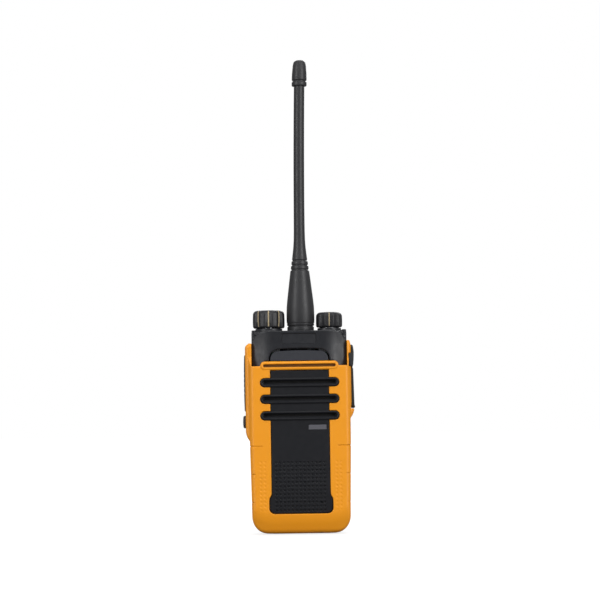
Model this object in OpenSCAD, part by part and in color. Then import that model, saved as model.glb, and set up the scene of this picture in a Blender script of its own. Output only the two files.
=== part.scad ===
// Handheld two way radio with a whip antenna, two top knobs, a tilt-out battery and a belt clip.
// Frame: origin at the bottom centre of the radio, half way through its depth. +Z is up, the front
// faces -Y, and +X is to the right as seen from the front. Millimetres.

/* [Case] */
// Width of the lower case
case_w = 48.8; // [48:0.2:50]
// Height of the top deck
deck_z = 98.3; // [98:0.1:99]
// Height of the joint between the front case and the black top cover
split_z = 81.2; // [81:0.1:81.4]
// Depth of the radio without the battery
radio_d = 17; // [17:0.1:17.4]
// Depth of the battery pack
battery_d = 12; // [11.9:0.1:12.6]
// Radius of the lower corners, seen from the front
corner_r = 8; // [6:0.5:9]
// Wall of the front case
wall = 1.8; // [1.6:0.1:1.9]
// How far the left grip, with the talk button, stands out past the lower case
left_grip = 2.7; // [2.6:0.1:2.9]
// How far the right grip, with the sockets, stands out past the lower case
right_grip = 0.6; // [0.5:0.1:0.7]

/* [Speaker slots] */
// Height of the lowest slot
slot_z = 57.2; // [57:0.1:58]
// Distance from one slot to the next
slot_pitch = 8; // [7.9:0.1:8.1]
// Outside length of a slot's rim
slot_l = 37.9; // [37:0.1:39]
// Outside height of a slot's rim
slot_h = 4.2; // [4:0.1:4.4]

/* [Knobs] */
// Radius of the channel knob
channel_r = 8; // [7.6:0.1:8]
// Radius of the volume knob
volume_r = 6.4; // [6.2:0.1:6.6]
// Grooves with an inlaid line round the channel knob
channel_flutes = 8; // [6:1:10]
// Shallow flutes round the volume knob
volume_flutes = 10; // [8:1:12]

/* [Antenna] */
// Radius of the whip's thin part
whip_r = 2.6; // [2.5:0.05:2.75]
// Height of the whip's tip above the bottom of the radio
tip_z = 232.8; // [225:0.1:240]
// Turns of the loading coil
coil_turns = 9; // [6:1:10]

/* [Belt clip] */
// Width of the belt clip
clip_w = 21; // [20:0.5:22]
// Height of the clip's lower end
clip_low = 19; // [15:1:25]

/* [Hidden] */
$fn = 48;
eps = 0.1;
gap = 0.1;               // between neighbouring pieces that don't move
orange = [0.95, 0.6, 0.15];
black = [0.14, 0.14, 0.15];
charcoal = [0.24, 0.24, 0.25];
rubber = [0.18, 0.18, 0.18];
metal = [0.72, 0.73, 0.75];
gold = [0.85, 0.68, 0.32];
board_green = [0.06, 0.3, 0.16];

front_y = -(radio_d + battery_d) / 2;   // front face
joint_y = front_y + radio_d;            // where the battery meets the radio
back_y = joint_y + battery_d;           // back of the battery
hw = case_w / 2;
face_t = 2.6;                           // front wall of the case
face_back = front_y + face_t;           // inner side of the front wall
ear_z = 93.4;                           // top of the right grip
left_drop = 1.1;                        // how much lower the left grip ends
taper = 0.7;                            // how much narrower the case is at its foot, each side
taper_z = 45;
head_w = 46;                            // width of the top cover
head_front = front_y + 1.1;             // front of the top cover
head_back = 11.5;
head_low = 84.4;                        // underside of the top cover behind the battery joint
skin = 1.6;                             // wall of the top cover

panel_hw = 14;                          // half width of the front panel
panel_top = 88.4;
panel_low = 10.2;
foot_hw = 15.2;                         // half width of the panel's wider foot
panel_y = front_y + 0.5;                // face of the front panel
panel_back = front_y + 2.5;
ring_z = slot_z + 3 * slot_pitch + 0.1; // height of the orange slot ring
slots = [for (i = [0:2]) slot_z + i * slot_pitch];
speaker_z = slot_z + slot_pitch;

shaft_y = 0.5;                          // knobs and antenna stand on this line
channel_x = -14.7;
volume_x = 14.9;
antenna_x = 0.9;
knob_z = deck_z + 1.9;                  // underside of the knobs
channel_top = 108.8;
volume_top = 107.7;
shaft_r = 3;
bushing_r = 3.5;

board_y = -1.9;                         // front of the main board
board_t = 1;
plate_y = 0.9;                          // front of the chassis plate

key_y = -4.6;                           // side keys and sockets are centred on this depth
grip_x = -(hw + left_grip);             // outside of the left grip
port_x = hw + right_grip;               // outside of the right grip
mic_jack_z = 75.5;                      // the sockets' centres are 11.2 mm apart
ear_jack_z = mic_jack_z - 11.2;
flap_axis = [port_x + 0.5, 0, 80.0];    // the flap's living hinge, along Y
flap_t = 0.85;

toe = [0, joint_y - 0.9, 2.4];          // the battery tilts about this line, along X
toe_r = 0.8;
toe_bar = 14;                           // half width of the bar with the toes' grooves
pack_y = joint_y + 0.2;                 // front of the battery
pack_top = 83.7;
clip_pin = [0, back_y + 3.4, 71];       // the belt clip's pin, along X
clip_y = clip_pin[1] + 2.1;             // inner face of the clip
clip_t = 1.6;

// ---------- drawing helpers ----------

function arc(cx, cy, r, a0, a1, n = 6) =
    [for (i = [0:n]) let (a = a0 + (a1 - a0) * i / n) [cx + r * cos(a), cy + r * sin(a)]];
// A closed outline from its right half, listed from top to bottom.
function both_sides(half) =
    concat(half, [for (i = [len(half) - 1:-1:0]) [-half[i][0], half[i][1]]]);

module slab_x(x0, x1) translate([x0, 0, 0]) rotate([90, 0, 90]) linear_extrude(x1 - x0) children();
module slab_y(y0, y1) translate([0, y1, 0]) rotate([90, 0, 0]) linear_extrude(y1 - y0) children();
module slab_z(z0, z1) translate([0, 0, z0]) linear_extrude(z1 - z0) children();
module block(lo, hi) translate(lo) cube(hi - lo);
module rod_x(x0, x1, r, y, z) translate([x0, y, z]) rotate([0, 90, 0]) cylinder(h = x1 - x0, r = r);
module rod_y(y0, y1, r, x, z) translate([x, y1, z]) rotate([90, 0, 0]) cylinder(h = y1 - y0, r = r);
module rod_z(z0, z1, r, x, y) translate([x, y, z0]) cylinder(h = z1 - z0, r = r);
module both() {
    children();
    mirror([1, 0, 0]) children();
}
module stadium(w, h) {
    square([w - h, h], center = true);
    for (s = [-1, 1]) translate([s * (w - h) / 2, 0]) circle(h / 2);
}
// A rectangle from corner lo to corner hi with true round corners.
module round_rect(lo, hi, r) {
    translate([lo[0] + r, lo[1]]) square([hi[0] - lo[0] - 2 * r, hi[1] - lo[1]]);
    translate([lo[0], lo[1] + r]) square([hi[0] - lo[0], hi[1] - lo[1] - 2 * r]);
    for (x = [lo[0] + r, hi[0] - r], y = [lo[1] + r, hi[1] - r]) translate([x, y]) circle(r);
}
module slot_at(z, w, h) translate([0, z]) stadium(w, h);
// A wire of radius r along a path. ref is any direction that the path never runs along.
module wire(path, r, ref, sides = 6) {
    last = len(path) - 1;
    rings = [for (i = [0:last]) let (
        t = path[min(i + 1, last)] - path[max(i - 1, 0)],
        n = cross(t, ref) / norm(cross(t, ref)),
        b = cross(t, n) / norm(cross(t, n)))
        each [for (k = [0:sides - 1]) let (a = 360 * k / sides)
            path[i] + r * cos(a) * n + r * sin(a) * b]];
    skin_faces = [for (i = [0:last - 1], k = [0:sides - 1]) let (
        k2 = (k + 1) % sides, a = i * sides)
        [a + k, a + k2, a + sides + k2, a + sides + k]];
    ends = [[for (k = [sides - 1:-1:0]) k], [for (k = [0:sides - 1]) last * sides + k]];
    polyhedron(points = rings, faces = concat(skin_faces, ends), convexity = 8);
}

// ---------- front case ----------

// The case seen from the front, set in by d.
function case_outline(d, top) = both_sides(concat(
    [[hw - d, top], [hw - d, taper_z]],
    arc(hw - taper - corner_r, corner_r, corner_r - d, 0, -90)));

function half_width(z) = hw - taper * max(0, (taper_z - z) / (taper_z - corner_r));

module case_body() intersection() {
    slab_y(front_y, joint_y) polygon(case_outline(0, ear_z));
    slab_z(-eps, ear_z) polygon(both_sides(concat(
        [[hw, joint_y]], arc(hw - 3.2, front_y + 3.2, 3.2, 0, -90))));
    slab_x(-hw - 1, hw + 1) polygon([[front_y + 3.7, ear_z],
        [front_y + 3.7, 87], [front_y, 80.8], [front_y, 8.2], [front_y + 1.4, 4.8],
        [front_y + 2.7, 2.0], [front_y + 4.3, 0], [joint_y, 0], [joint_y, ear_z]]);
}

// A raised grip on the right-hand side; it is mirrored for the left.
module grip(out, low, rise) {
    ear_r = min(3, out - hw + 1.2);
    intersection() {
        slab_y(front_y, joint_y) polygon(concat(
            [[hw - 2.4, ear_z]], arc(out - ear_r, ear_z - ear_r, ear_r, 90, 0),
            [[out, low + rise], [out - (out - hw) * 0.3, low + rise * 0.6], [hw, low],
            [hw - 2.4, low - 0.4]]));
        slab_z(0, ear_z + 1) polygon(concat(
            [[hw - 2.4, -11.9]], arc(out - 1.8, -10.1, 1.8, -90, 0), arc(out - 1, 0.6, 1, 0, 90),
            [[hw - 2.4, 1.6]]));
    }
}

module case_cavity() intersection() {
    slab_y(face_back, joint_y + 1) polygon(case_outline(wall, ear_z + 1));
    slab_x(-30, 30) polygon([[face_back, ear_z + 1], [face_back, 8], [-9.4, wall],
        [joint_y + 1, wall], [joint_y + 1, ear_z + 1]]);
}

// Window and pocket for the talk button and the side key, with the way through to the switches.
module key_openings() {
    slab_x(grip_x - 1, grip_x + 1.8) {
        round_rect([key_y - 4.25, 59.3], [key_y + 4.25, 87.2], 2);
        round_rect([key_y - 3.1, 51.2], [key_y + 3.1, 57.7], 2);
    }
    block([grip_x + 1.7, key_y - 5, 50.4], [-hw + 0.8, key_y + 5, 88.1]);
    block([-hw + 0.6, key_y - 4, 50.8], [-hw + 2.4, key_y + 4, 80.6]);
}

module front_case() color(orange) difference() {
    union() {
        difference() {
            union() {
                case_body();
                grip(port_x, 57.2, 2.8);
                intersection() {
                    grip(port_x + 1.4, 56.0, 2.4);
                    slab_z(56, 60.4) square([60, 40], center = true);
                }
                mirror([1, 0, 0]) grip(-grip_x, 44.6, 6.6);
            }
            block([-head_w / 2 - gap, front_y - 1, split_z], [head_w / 2 + gap, 5, ear_z + 1]);
            slab_y(front_y - 1, face_back + 1) polygon(panel_outline(-gap, split_z + 5));
            for (z = slots) slab_y(front_y - 1, face_back + 1) slot_at(z, slot_l + 0.2, slot_h + 0.2);
        }
        slab_y(front_y - 0.2, front_y + 1.6) slot_at(ring_z, slot_l, slot_h);
    }
    slab_y(front_y - 1, front_y + 1.1) slot_at(ring_z, slot_l - 2.6, 1.3);
    case_cavity();
    key_openings();
    block([hw - 2.4, key_y - 4.4, 60.4], [port_x + 1, key_y + 4.4, 79.8]);
    block([hw - 2.4, key_y - 4.4, 59.8], [port_x - 0.4, key_y + 4.4, 60.5]);
    block([23.9, front_y, 80.7], [port_x + 1, -9.6, 87.2]);
    for (i = [0:2]) let (z = 15.6 + 13.5 * i)
        both() block([half_width(z) - 0.22, -12.6, z - 0.15], [hw + 0.05, 1.4, z + 0.15]);
    for (x = [-7.7, 9.3]) block([x - 0.25, front_y - 1, -eps], [x + 0.25, -9, 0.8]);
    block([grip_x - 1, front_y - 1, ear_z - left_drop], [-20, joint_y + 1, ear_z + 1]);
    block([-toe_bar - gap, -1.1, -eps], [toe_bar + gap, joint_y + 1, wall + 0.3]);
}

// ---------- front panel and plates ----------

// The panel's outline, set in by d and cut off level at top. Its foot is wider than the rest.
function panel_outline(d, top = panel_top) = both_sides(concat(
    top < panel_top ? [[panel_hw - d, top]]
        : arc(panel_hw - 3.2, top - 3.2, 3.2 - d, 90, 0),
    [[panel_hw - d, panel_low + 10.4], [panel_hw + 0.3 - d, panel_low + 9],
    [foot_hw - 0.3 - d, panel_low + 7.6], [foot_hw - d, panel_low + 6.2]],
    arc(foot_hw - 2.4, panel_low + 2.4, 2.4 - d, 0, -90)));

module front_panel() color(black) difference() {
    union() {
        slab_y(panel_y, panel_back) polygon(panel_outline(0));
        for (z = slots) slab_y(front_y - 0.4, panel_back) slot_at(z, slot_l, slot_h);
    }
    for (z = slots) {
        slab_y(front_y - 1, panel_y + 0.4) slot_at(z, slot_l - 2.2, 2.2);
        slab_y(front_y - 1, panel_back + 1) slot_at(z, slot_l - 3.4, 1.0);
    }
    block([-slot_l / 2, front_y - 1, ring_z - slot_h / 2 - gap],
        [slot_l / 2, front_y + 1.7, ring_z + slot_h / 2 + gap]);
    slab_y(front_y, panel_y + 0.2) round_rect([4.0, 50.3], [12.8, 52.8], 0.4);
    rod_y(front_y, panel_back + 1, 0.6, 10, 16);
}

module nameplate() color(charcoal)
    slab_y(head_front + 0.15, head_front + 0.4) round_rect([-8.2, 92.0], [8.2, 96.8], 0.6);

module model_plate() color([0.34, 0.34, 0.35])
    slab_y(panel_y + 0.02, panel_y + 0.2) round_rect([4.1, 50.4], [12.7, 52.7], 0.35);

// ---------- speaker and microphone ----------

module speaker_cloth() color([0.08, 0.08, 0.08])
    slab_y(face_back + 0.05, face_back + 0.35)
        round_rect([-18.8, slot_z - 3.4], [18.8, slots[2] + 3.4], 2);

// Turns a profile drawn as (radius, depth behind the case's front wall) about the speaker's axis.
module about_speaker() translate([0, face_back, speaker_z]) rotate([-90, 0, 0]) rotate_extrude()
    children();

module speaker_frame() color(metal) about_speaker()
    polygon([[14.6, 0.8], [18, 0.8], [18, 1.6], [14.8, 1.6], [9.4, 4.2], [6.0, 4.2], [6.0, 3.7],
        [9.1, 3.7], [14.6, 1.2]]);

module speaker_cone() color([0.2, 0.19, 0.17]) about_speaker()
    polygon([[0, 1.4], [3.4, 2.2], [4.8, 3.1], [14.3, 0.8], [14.3, 0.5], [4.8, 2.7], [3.6, 1.8],
        [0, 1.1]]);

module speaker_magnet() color([0.5, 0.5, 0.52]) about_speaker() polygon([[0, 4.3], [8.8, 4.3],
    [9, 4.5], [9, 6.4], [8.6, 6.8], [0, 6.8]]);

module microphone() color(metal) rod_y(-10.9, -8.2, 3, 10, 16);

module microphone_boot() color(rubber) difference() {
    rod_y(face_back + 0.05, -8.4, 4, 10, 16);
    rod_y(-11, -8, 3.05, 10, 16);
    rod_y(front_y, -10, 1, 10, 16);
}

// ---------- top cover ----------

module top_cover() color(black) difference() {
    union() {
        intersection() {
            slab_y(head_front, -5) polygon(both_sides(concat(
                arc(head_w / 2 - 7, deck_z - 7, 7, 90, 0), [[head_w / 2, split_z + gap]])));
            slab_z(split_z, deck_z) polygon(both_sides([[head_w / 2, -5], [head_w / 2, -9.9],
                [21.8, -11.3], [14, head_front]]));
        }
        intersection() {
            slab_z(split_z + gap, deck_z) polygon(both_sides(concat(
                arc(head_w / 2 - 3, head_back - 3, 3, 90, 0),
                arc(head_w / 2 - 1.5, -7.2, 1.5, 0, -90))));
            slab_x(-30, 30) polygon([[-9, split_z], [joint_y + gap, split_z],
                [joint_y + gap, head_low], [head_back, head_low], [head_back, deck_z - 1],
                [head_back - 1, deck_z], [-9, deck_z]]);
        }
        both() block([head_w / 2 - 2, -7.2, deck_z - 1], [head_w / 2, 7, deck_z + 0.5]);
        rod_z(deck_z - 1, knob_z - 0.3, 6.6, channel_x, shaft_y);
        rod_z(deck_z - 1, knob_z - 0.3, 5.8, volume_x, shaft_y);
        slab_x(-20.4, -17.4) round_rect([head_back - 1, 88.6], [head_back + 4.5, 94.8], 1.8);
    }
    slab_z(split_z - 1, deck_z - 2) polygon(both_sides([[head_w / 2 - skin, head_back - skin],
        [head_w / 2 - skin, -8.6], [20.6, -9.9], [13.4, head_front + skin]]));
    slab_y(front_y, -9) polygon(both_sides(concat(
        arc(panel_hw + 0.5 - 3.7, panel_top + 1.1 - 3.7, 3.7, 90, 0), [[panel_hw + 0.5, 80]])));
    slab_y(front_y - 1, front_y + 1.8) slot_at(ring_z, slot_l + 0.4, slot_h + 0.4);
    slab_y(front_y, head_front + 0.4) round_rect([-8.3, 91.9], [8.3, 96.9], 0.7);
    rod_z(90, 110, bushing_r + gap, antenna_x, shaft_y);
    for (k = [[channel_x, 5.6], [volume_x, 5.1]]) {
        rod_z(90, 110, bushing_r + gap, k[0], shaft_y);
        rod_z(deck_z, 110, k[1], k[0], shaft_y);
    }
    rod_z(90, 110, 1.05, 7.5, -6.6);
    rod_x(-22, -16, 1.5, head_back + 2.1, 91.7);
    for (s = [-1, 1]) {
        rod_y(9, 13, 1.1, s * 5, 90);
        rod_y(head_back - 0.7, 13, 1.9, s * 5, 90);
        block([s * 13 - 2.8, 8, head_low - 1], [s * 13 + 2.8, 12.5, head_low + 1.4]);
    }
}

module led_lens() color([0.9, 0.9, 0.85]) {
    rod_z(93, deck_z + 0.2, 1, 7.5, -6.6);
    rod_z(93, deck_z - 2.05, 1.6, 7.5, -6.6);
}

// ---------- switches and knobs ----------

module knob_board() color(board_green) difference() {
    block([-20.8, -7.8, 87], [20.8, 6.3, 88]);
    rod_z(86, 89, 4.2, antenna_x, shaft_y);
}

// A rotary switch: square body on the knob board, and a bushing through the deck.
module rotary_switch(x) difference() {
    union() {
        block([x - 5.3, shaft_y - 5.3, 88.05], [x + 5.3, shaft_y + 5.3, deck_z - 2.1]);
        rod_z(deck_z - 3, deck_z + 1.6, bushing_r, x, shaft_y);
    }
    rod_z(89.5, 110, shaft_r + 0.05, x, shaft_y);
}
module channel_switch() color(metal) rotary_switch(channel_x);
module volume_switch() color(metal) rotary_switch(volume_x);

// Cross-section of a switch shaft with its flat, larger by d.
module d_section(d) difference() {
    circle(shaft_r + d);
    translate([-4, -shaft_r - 1]) square([8, 2 - d]);
}
module switch_shaft(x, top) translate([x, shaft_y, 0]) {
    rod_z(89.6, knob_z + 1.1, shaft_r, 0, 0);
    slab_z(knob_z + 1.1, top - 1.8) d_section(0);
}
module channel_shaft() color(metal) switch_shaft(channel_x, channel_top);
module volume_shaft() color(metal) switch_shaft(volume_x, volume_top);

// A knob of radius r with flutes of radius flute_r cut flute_in deep, hollow under its skirt.
module knob(x, r, top, flutes, flute_r, flute_in) translate([x, shaft_y, 0]) difference() {
    translate([0, 0, knob_z]) rotate_extrude() polygon(concat(
        [[0, 0], [r - 0.5, 0], [r, 0.5]],
        arc(r - 1.9, top - knob_z - 2.0, 1.6, 0, 60, 4),
        [[0, top - knob_z]]));
    for (i = [0:flutes - 1]) rotate(-90 + i * 360 / flutes)
        rod_z(knob_z - 1, top + 1, flute_r, r + flute_r - flute_in, 0);
    rod_z(knob_z - 1, knob_z + 1.2, r - 1.9, 0, 0);
    slab_z(knob_z, top - 1.7) d_section(0.02);
}
// Inlaid lines in the bottom of a knob's flutes.
module knob_lines(x, r, top, angles, flute_in) translate([x, shaft_y, 0])
    for (a = angles) rotate(a)
        block([r - flute_in + 0.06, -0.32, knob_z + 0.9], [r - flute_in + 0.26, 0.32, top - 2.1]);

module channel_knob() color(black)
    knob(channel_x, channel_r, channel_top, channel_flutes, 1.5, 0.85);
module channel_knob_lines() color(gold) knob_lines(channel_x, channel_r, channel_top,
    [for (i = [0:channel_flutes - 1]) -90 + i * 360 / channel_flutes], 0.85);
module volume_knob() color(black)
    knob(volume_x, volume_r, volume_top, volume_flutes, 1.8, 0.45);
module volume_knob_line() color(gold) knob_lines(volume_x, volume_r, volume_top, [-90], 0.45);

// The nuts on the two bushings and on the antenna socket.
module panel_nuts() color(metal) {
    for (x = [channel_x, volume_x]) difference() {
        rod_z(deck_z + 0.05, deck_z + 1.5, 5, x, shaft_y, $fn = 6);
        rod_z(deck_z - 1, deck_z + 2, bushing_r + 0.02, x, shaft_y);
    }
    difference() {
        rod_z(93.6, deck_z - 2.05, 5.4, antenna_x, shaft_y, $fn = 6);
        rod_z(93, deck_z, bushing_r + 0.02, antenna_x, shaft_y);
    }
}

// ---------- antenna ----------

module about_antenna() translate([antenna_x, shaft_y, 0]) rotate_extrude() children();

module antenna_socket() color(gold) {
    about_antenna() polygon([[1.9, 91.5], [bushing_r, 91.5], [bushing_r, deck_z + 0.05],
        [4.0, deck_z + 0.05], [4.0, deck_z + 0.6], [3.1, deck_z + 0.6], [3.1, deck_z + 5.8],
        [2.8, deck_z + 6.1], [1.9, deck_z + 6.1]]);
    about_antenna() polygon([[0.6, 90.5], [0.95, 90.5], [0.95, 91.6], [1.95, 91.6], [1.95, 93.2],
        [0.95, 93.2], [0.95, deck_z + 4.4], [0.6, deck_z + 4.4]]);
}

module antenna_seal() color(rubber) about_antenna() translate([4.65, deck_z + 0.5]) circle(0.4);

module antenna_ferrule() color(gold) about_antenna()
    polygon([[3.15, deck_z + 1.2], [5.1, deck_z + 1.2], [5.2, deck_z + 1.3], [5.2, deck_z + 7.4],
        [1.5, deck_z + 7.4], [1.5, deck_z + 6.4], [3.15, deck_z + 6.4]]);

// The rubber sheath: foot ring, tapered grip with two ribs, then a slim whip.
module antenna_whip() color(charcoal) about_antenna() difference() {
    polygon(concat(
        [[0, deck_z + 0.3], [6.4, deck_z + 0.3], [6.65, deck_z + 0.6], [6.65, 102.6], [6.3, 102.9],
        [6.8, 103.3], [6.8, 107], [6.7, 111], [6.4, 113.6], [5.75, 119.3], [5.05, 125.2],
        [4.65, 128.4], [4.1, 129.2], [4.4, 129.8], [4.35, 131.1], [3.8, 131.7], [4.05, 132.3],
        [4.0, 133.4], [3.5, 134.0], [3.7, 134.6], [3.35, 137], [3.0, 140], [whip_r + 0.15, 144],
        [whip_r, 150]],
        [[whip_r, tip_z - 8], [0, tip_z - 8]]));
    square([5.25, 105.75]);
    square([3.4, 126]);
    square([1.1, tip_z - 10]);
}

// The sprung steel core. Its lower end is the contact pin of the antenna plug.
module antenna_core() color(metal) {
    rod_z(deck_z + 2.2, 109, 0.5, antenna_x, shaft_y);
    rod_z(109, tip_z - 11, 1, antenna_x, shaft_y);
}

module loading_coil() color([0.72, 0.42, 0.25]) wire(
    [for (i = [0:coil_turns * 18]) [antenna_x + 2.5 * cos(20 * i), shaft_y + 2.5 * sin(20 * i),
        108 + 17 * i / (coil_turns * 18)]], 0.4, [0, 0, 1], 5);

module antenna_tip() color(charcoal) about_antenna() difference() {
    polygon([[0, tip_z - 13], [3.5, tip_z - 13], [3.7, tip_z - 12.6], [3.7, tip_z - 11],
        [3.25, tip_z - 10.3], [3.7, tip_z - 9.7], [3.25, tip_z - 1.6], [2.6, tip_z - 0.4],
        [1.6, tip_z], [0, tip_z]]);
    square([whip_r + 0.03, tip_z - 7.9]);
}

// ---------- chassis, seal and boards ----------

standoffs = [[-18, 10], [18, 10], [-18, 56], [18, 56]];

module chassis() color(metal) difference() {
    union() {
        slab_y(plate_y, joint_y) polygon(case_outline(wall + gap, split_z - gap));
        block([-21.2, plate_y, split_z - 1], [21.2, joint_y, 86.4]);
        block([-21.2, plate_y, head_low + 0.1], [21.2, head_back - skin - gap, 86.4]);
        block([-8, 6.7, 86], [8, head_back - skin - gap, 93.4]);
        block([-toe_bar, -1, 0], [toe_bar, joint_y, 6]);
        for (p = standoffs) rod_y(board_y + board_t, plate_y + 0.1, 2, p[0], p[1]);
    }
    for (p = standoffs) rod_y(-3, joint_y - 0.5, 0.8, p[0], p[1]);
    for (s = [-1, 1]) {
        rod_y(5, 12, 1.05, s * 5, 90);
        rod_x(s * 8 - 4.3, s * 8 + 4.3, toe_r + 0.07, toe[1], toe[2]);
        slab_x(s * 8 - 4.3, s * 8 + 4.3) polygon([[toe[1], toe[2] + 0.5], [toe[1] + 2, toe[2] + 0.5],
            [toe[1] + 2, toe[2] - 1.55], [toe[1], toe[2] - 0.6]]);
    }
    block([-7.1, 0, 68], [7.1, 3, 76.1]);
    for (x = [-18:4:18]) block([x - 0.6, joint_y - 0.4, 20], [x + 0.6, joint_y + 1, 62]);
}

// The case's outline set in by d, above the toe bar.
module seal_area(d) intersection() {
    polygon(case_outline(wall + d, split_z - d));
    translate([-30, 6.2 + d]) square([60, 90]);
}
module main_seal() color([0.75, 0.3, 0.2]) slab_y(0.25, 0.85) difference() {
    seal_area(0.2);
    seal_area(1.1);
}

module main_board() color(board_green) difference() {
    block([-20.2, board_y, 7], [20.2, board_y + board_t, 80]);
    for (p = standoffs) rod_y(-3, 0, 1, p[0], p[1]);
}

module shield_cans() color(metal)
    for (b = [[-18, 13, -2, 34], [1, 13, 18, 32], [-15, 38, 15, 60]])
        block([b[0], board_y + board_t + 0.02, b[1]], [b[2], plate_y - 0.15, b[3]]);

module board_chips() color([0.1, 0.1, 0.11])
    for (b = [[-7, 26, 7, 38], [9, 28, 16, 36], [-17, 27, -9.5, 35], [-14, 42, -4, 48], [2, 43, 12, 49]])
        block([b[0], board_y - 1.1, b[1]], [b[2], board_y - 0.02, b[3]]);

// The board's screws, and the two that hold the top cover to the chassis.
module chassis_screws() color(metal) {
    for (p = standoffs) {
        rod_y(board_y - 0.9, board_y - 0.02, 1.7, p[0], p[1]);
        rod_y(board_y - 0.5, 1.6, 0.75, p[0], p[1]);
    }
    for (s = [-1, 1]) difference() {
        union() {
            rod_y(head_back - 0.65, head_back + 0.1, 1.8, s * 5, 90);
            rod_y(7.2, head_back, 1, s * 5, 90);
        }
        rod_y(head_back - 0.4, 13, 0.7, s * 5, 90, $fn = 6);
    }
}

module flex_cable() color([0.8, 0.5, 0.15]) slab_x(-13, -5)
    polygon([[-2.05, 76], [-2.05, 82], [-5.9, 86.75], [-5.9, 86.95], [-6.3, 86.95], [-6.3, 86.7],
        [-2.3, 81.8], [-2.3, 76]]);

module battery_terminals() color(black) block([-7, -0.7, 68.1], [7, joint_y + 0.15, 76]);

module terminal_pins() color(gold)
    for (x = [-4.5, -1.5, 1.5, 4.5]) rod_y(joint_y + 0.16, joint_y + 0.8, 0.7, x, 72);

// ---------- talk button, side key and sockets ----------

module ptt_button() color(charcoal) {
    slab_x(grip_x - 0.25, grip_x + 1.75) round_rect([key_y - 4.1, 59.5], [key_y + 4.1, 87], 1.9);
    slab_x(grip_x + 1.75, grip_x + 2.4) round_rect([key_y - 4.8, 58.7], [key_y + 4.8, 87.8], 2);
}

module side_key() color(black) {
    slab_x(grip_x - 0.6, grip_x + 1.75) round_rect([key_y - 2.95, 51.4], [key_y + 2.95, 57.5], 1.9);
    slab_x(grip_x + 1.75, grip_x + 2.4) round_rect([key_y - 3.6, 50.6], [key_y + 3.6, 58.2], 2);
}

module side_boot() color(rubber) slab_x(-23.45, -22.75)
    round_rect([key_y - 3.9, 51], [key_y + 3.9, 80.4], 1.5);

module side_key_board() color(board_green) {
    block([-21.6, key_y - 3.8, 51], [-20.9, key_y + 3.8, 80]);
    for (z = [54.5, 73]) rod_x(-22.1, -21.55, 2.2, key_y, z);
}

module jack_panel() color(black) difference() {
    slab_x(hw - 0.7, port_x - 0.4) round_rect([key_y - 4.3, 59.9], [key_y + 4.3, 79.7], 0.8);
    rod_x(20, 30, 2.5, key_y, mic_jack_z);
    rod_x(20, 30, 2.0, key_y, ear_jack_z);
}

// A round socket of bore radius r and depth d, open to +X.
module jack(z, r, d) difference() {
    union() {
        block([11.3, key_y - 2.4, z - 2.9], [22.4, key_y + 2.4, z + 2.9]);
        rod_x(22.3, hw - 0.8, 2.4, key_y, z);
    }
    rod_x(hw - 0.8 - d, 30, r, key_y, z);
}
module mic_jack() color([0.1, 0.1, 0.1]) jack(mic_jack_z, 1.8, 12);
module ear_jack() color([0.1, 0.1, 0.1]) jack(ear_jack_z, 1.3, 10);

// The fixed end of the socket cover, which wraps onto the front of the grip.
module flap_anchor() color(rubber) difference() {
    union() {
        slab_x(port_x + 0.02, port_x + 0.6) round_rect([key_y - 5, 80.75], [key_y + 5, 91.3], 1.2);
        block([port_x + 0.02, -10.9, 80.85], [port_x + 0.6, -8, 87.1]);
        block([23.95, -12.3, 80.85], [port_x + 1, -9.65, 87.1]);
    }
    rod_x(port_x - 0.4, 28, 1.6, key_y, 84.6);
}

module anchor_screw() color(metal) difference() {
    union() {
        rod_x(port_x + 0.65, port_x + 1.3, 3, key_y, 84.6);
        rod_x(port_x + 0.05, port_x + 0.8, 1.5, key_y, 84.6);
    }
    block([port_x + 1, key_y - 0.4, 82.2], [port_x + 2, key_y + 0.4, 87]);
}

module accessory_flap() color(rubber) {
    rod_x(24.5, port_x + 0.1, 2.3, key_y, mic_jack_z);
    rod_x(24.5, port_x + 0.1, 1.8, key_y, ear_jack_z);
    slab_y(key_y - 5, key_y + 5) polygon([[port_x + 0.05, 60.6], [port_x + 1.35, 60.6],
        [port_x + 1.3, 62.5], [flap_axis[0] + 0.4, 79], [flap_axis[0] + 0.4, 79.9],
        [flap_axis[0] - 0.3, 79.9], [port_x + 0.05, 79.4]]);
    rod_y(key_y - 5, key_y + 5, 0.4, flap_axis[0], flap_axis[2]);
}

// ---------- battery ----------

function pack_outline(d) = both_sides(concat(
    arc(hw - 0.2 - 2, pack_top - 2, 2 - min(d, 1.5), 90, 0, 4),
    [[hw - 0.2 - d, taper_z]],
    arc(hw - taper - corner_r - 0.2, corner_r, corner_r - d, 0, -90)));

module pack_solid(d, y0, y1) intersection() {
    slab_y(y0, y1) polygon(pack_outline(d));
    slab_z(-eps, 90) polygon(both_sides(concat(
        arc(hw - 4.6, back_y - 4.4, 4.4 - d, 90, 0), [[hw - 0.2 - d, y0]])));
}
// Slopes the pack's lower front edge back, so that it clears the radio as it tilts.
module tilt_relief() slab_x(-30, 30)
    polygon([[0, toe[2] - 0.2], [pack_y, toe[2] - 0.2], [pack_y + 1.3, -0.1], [0, -0.1]]);

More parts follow.
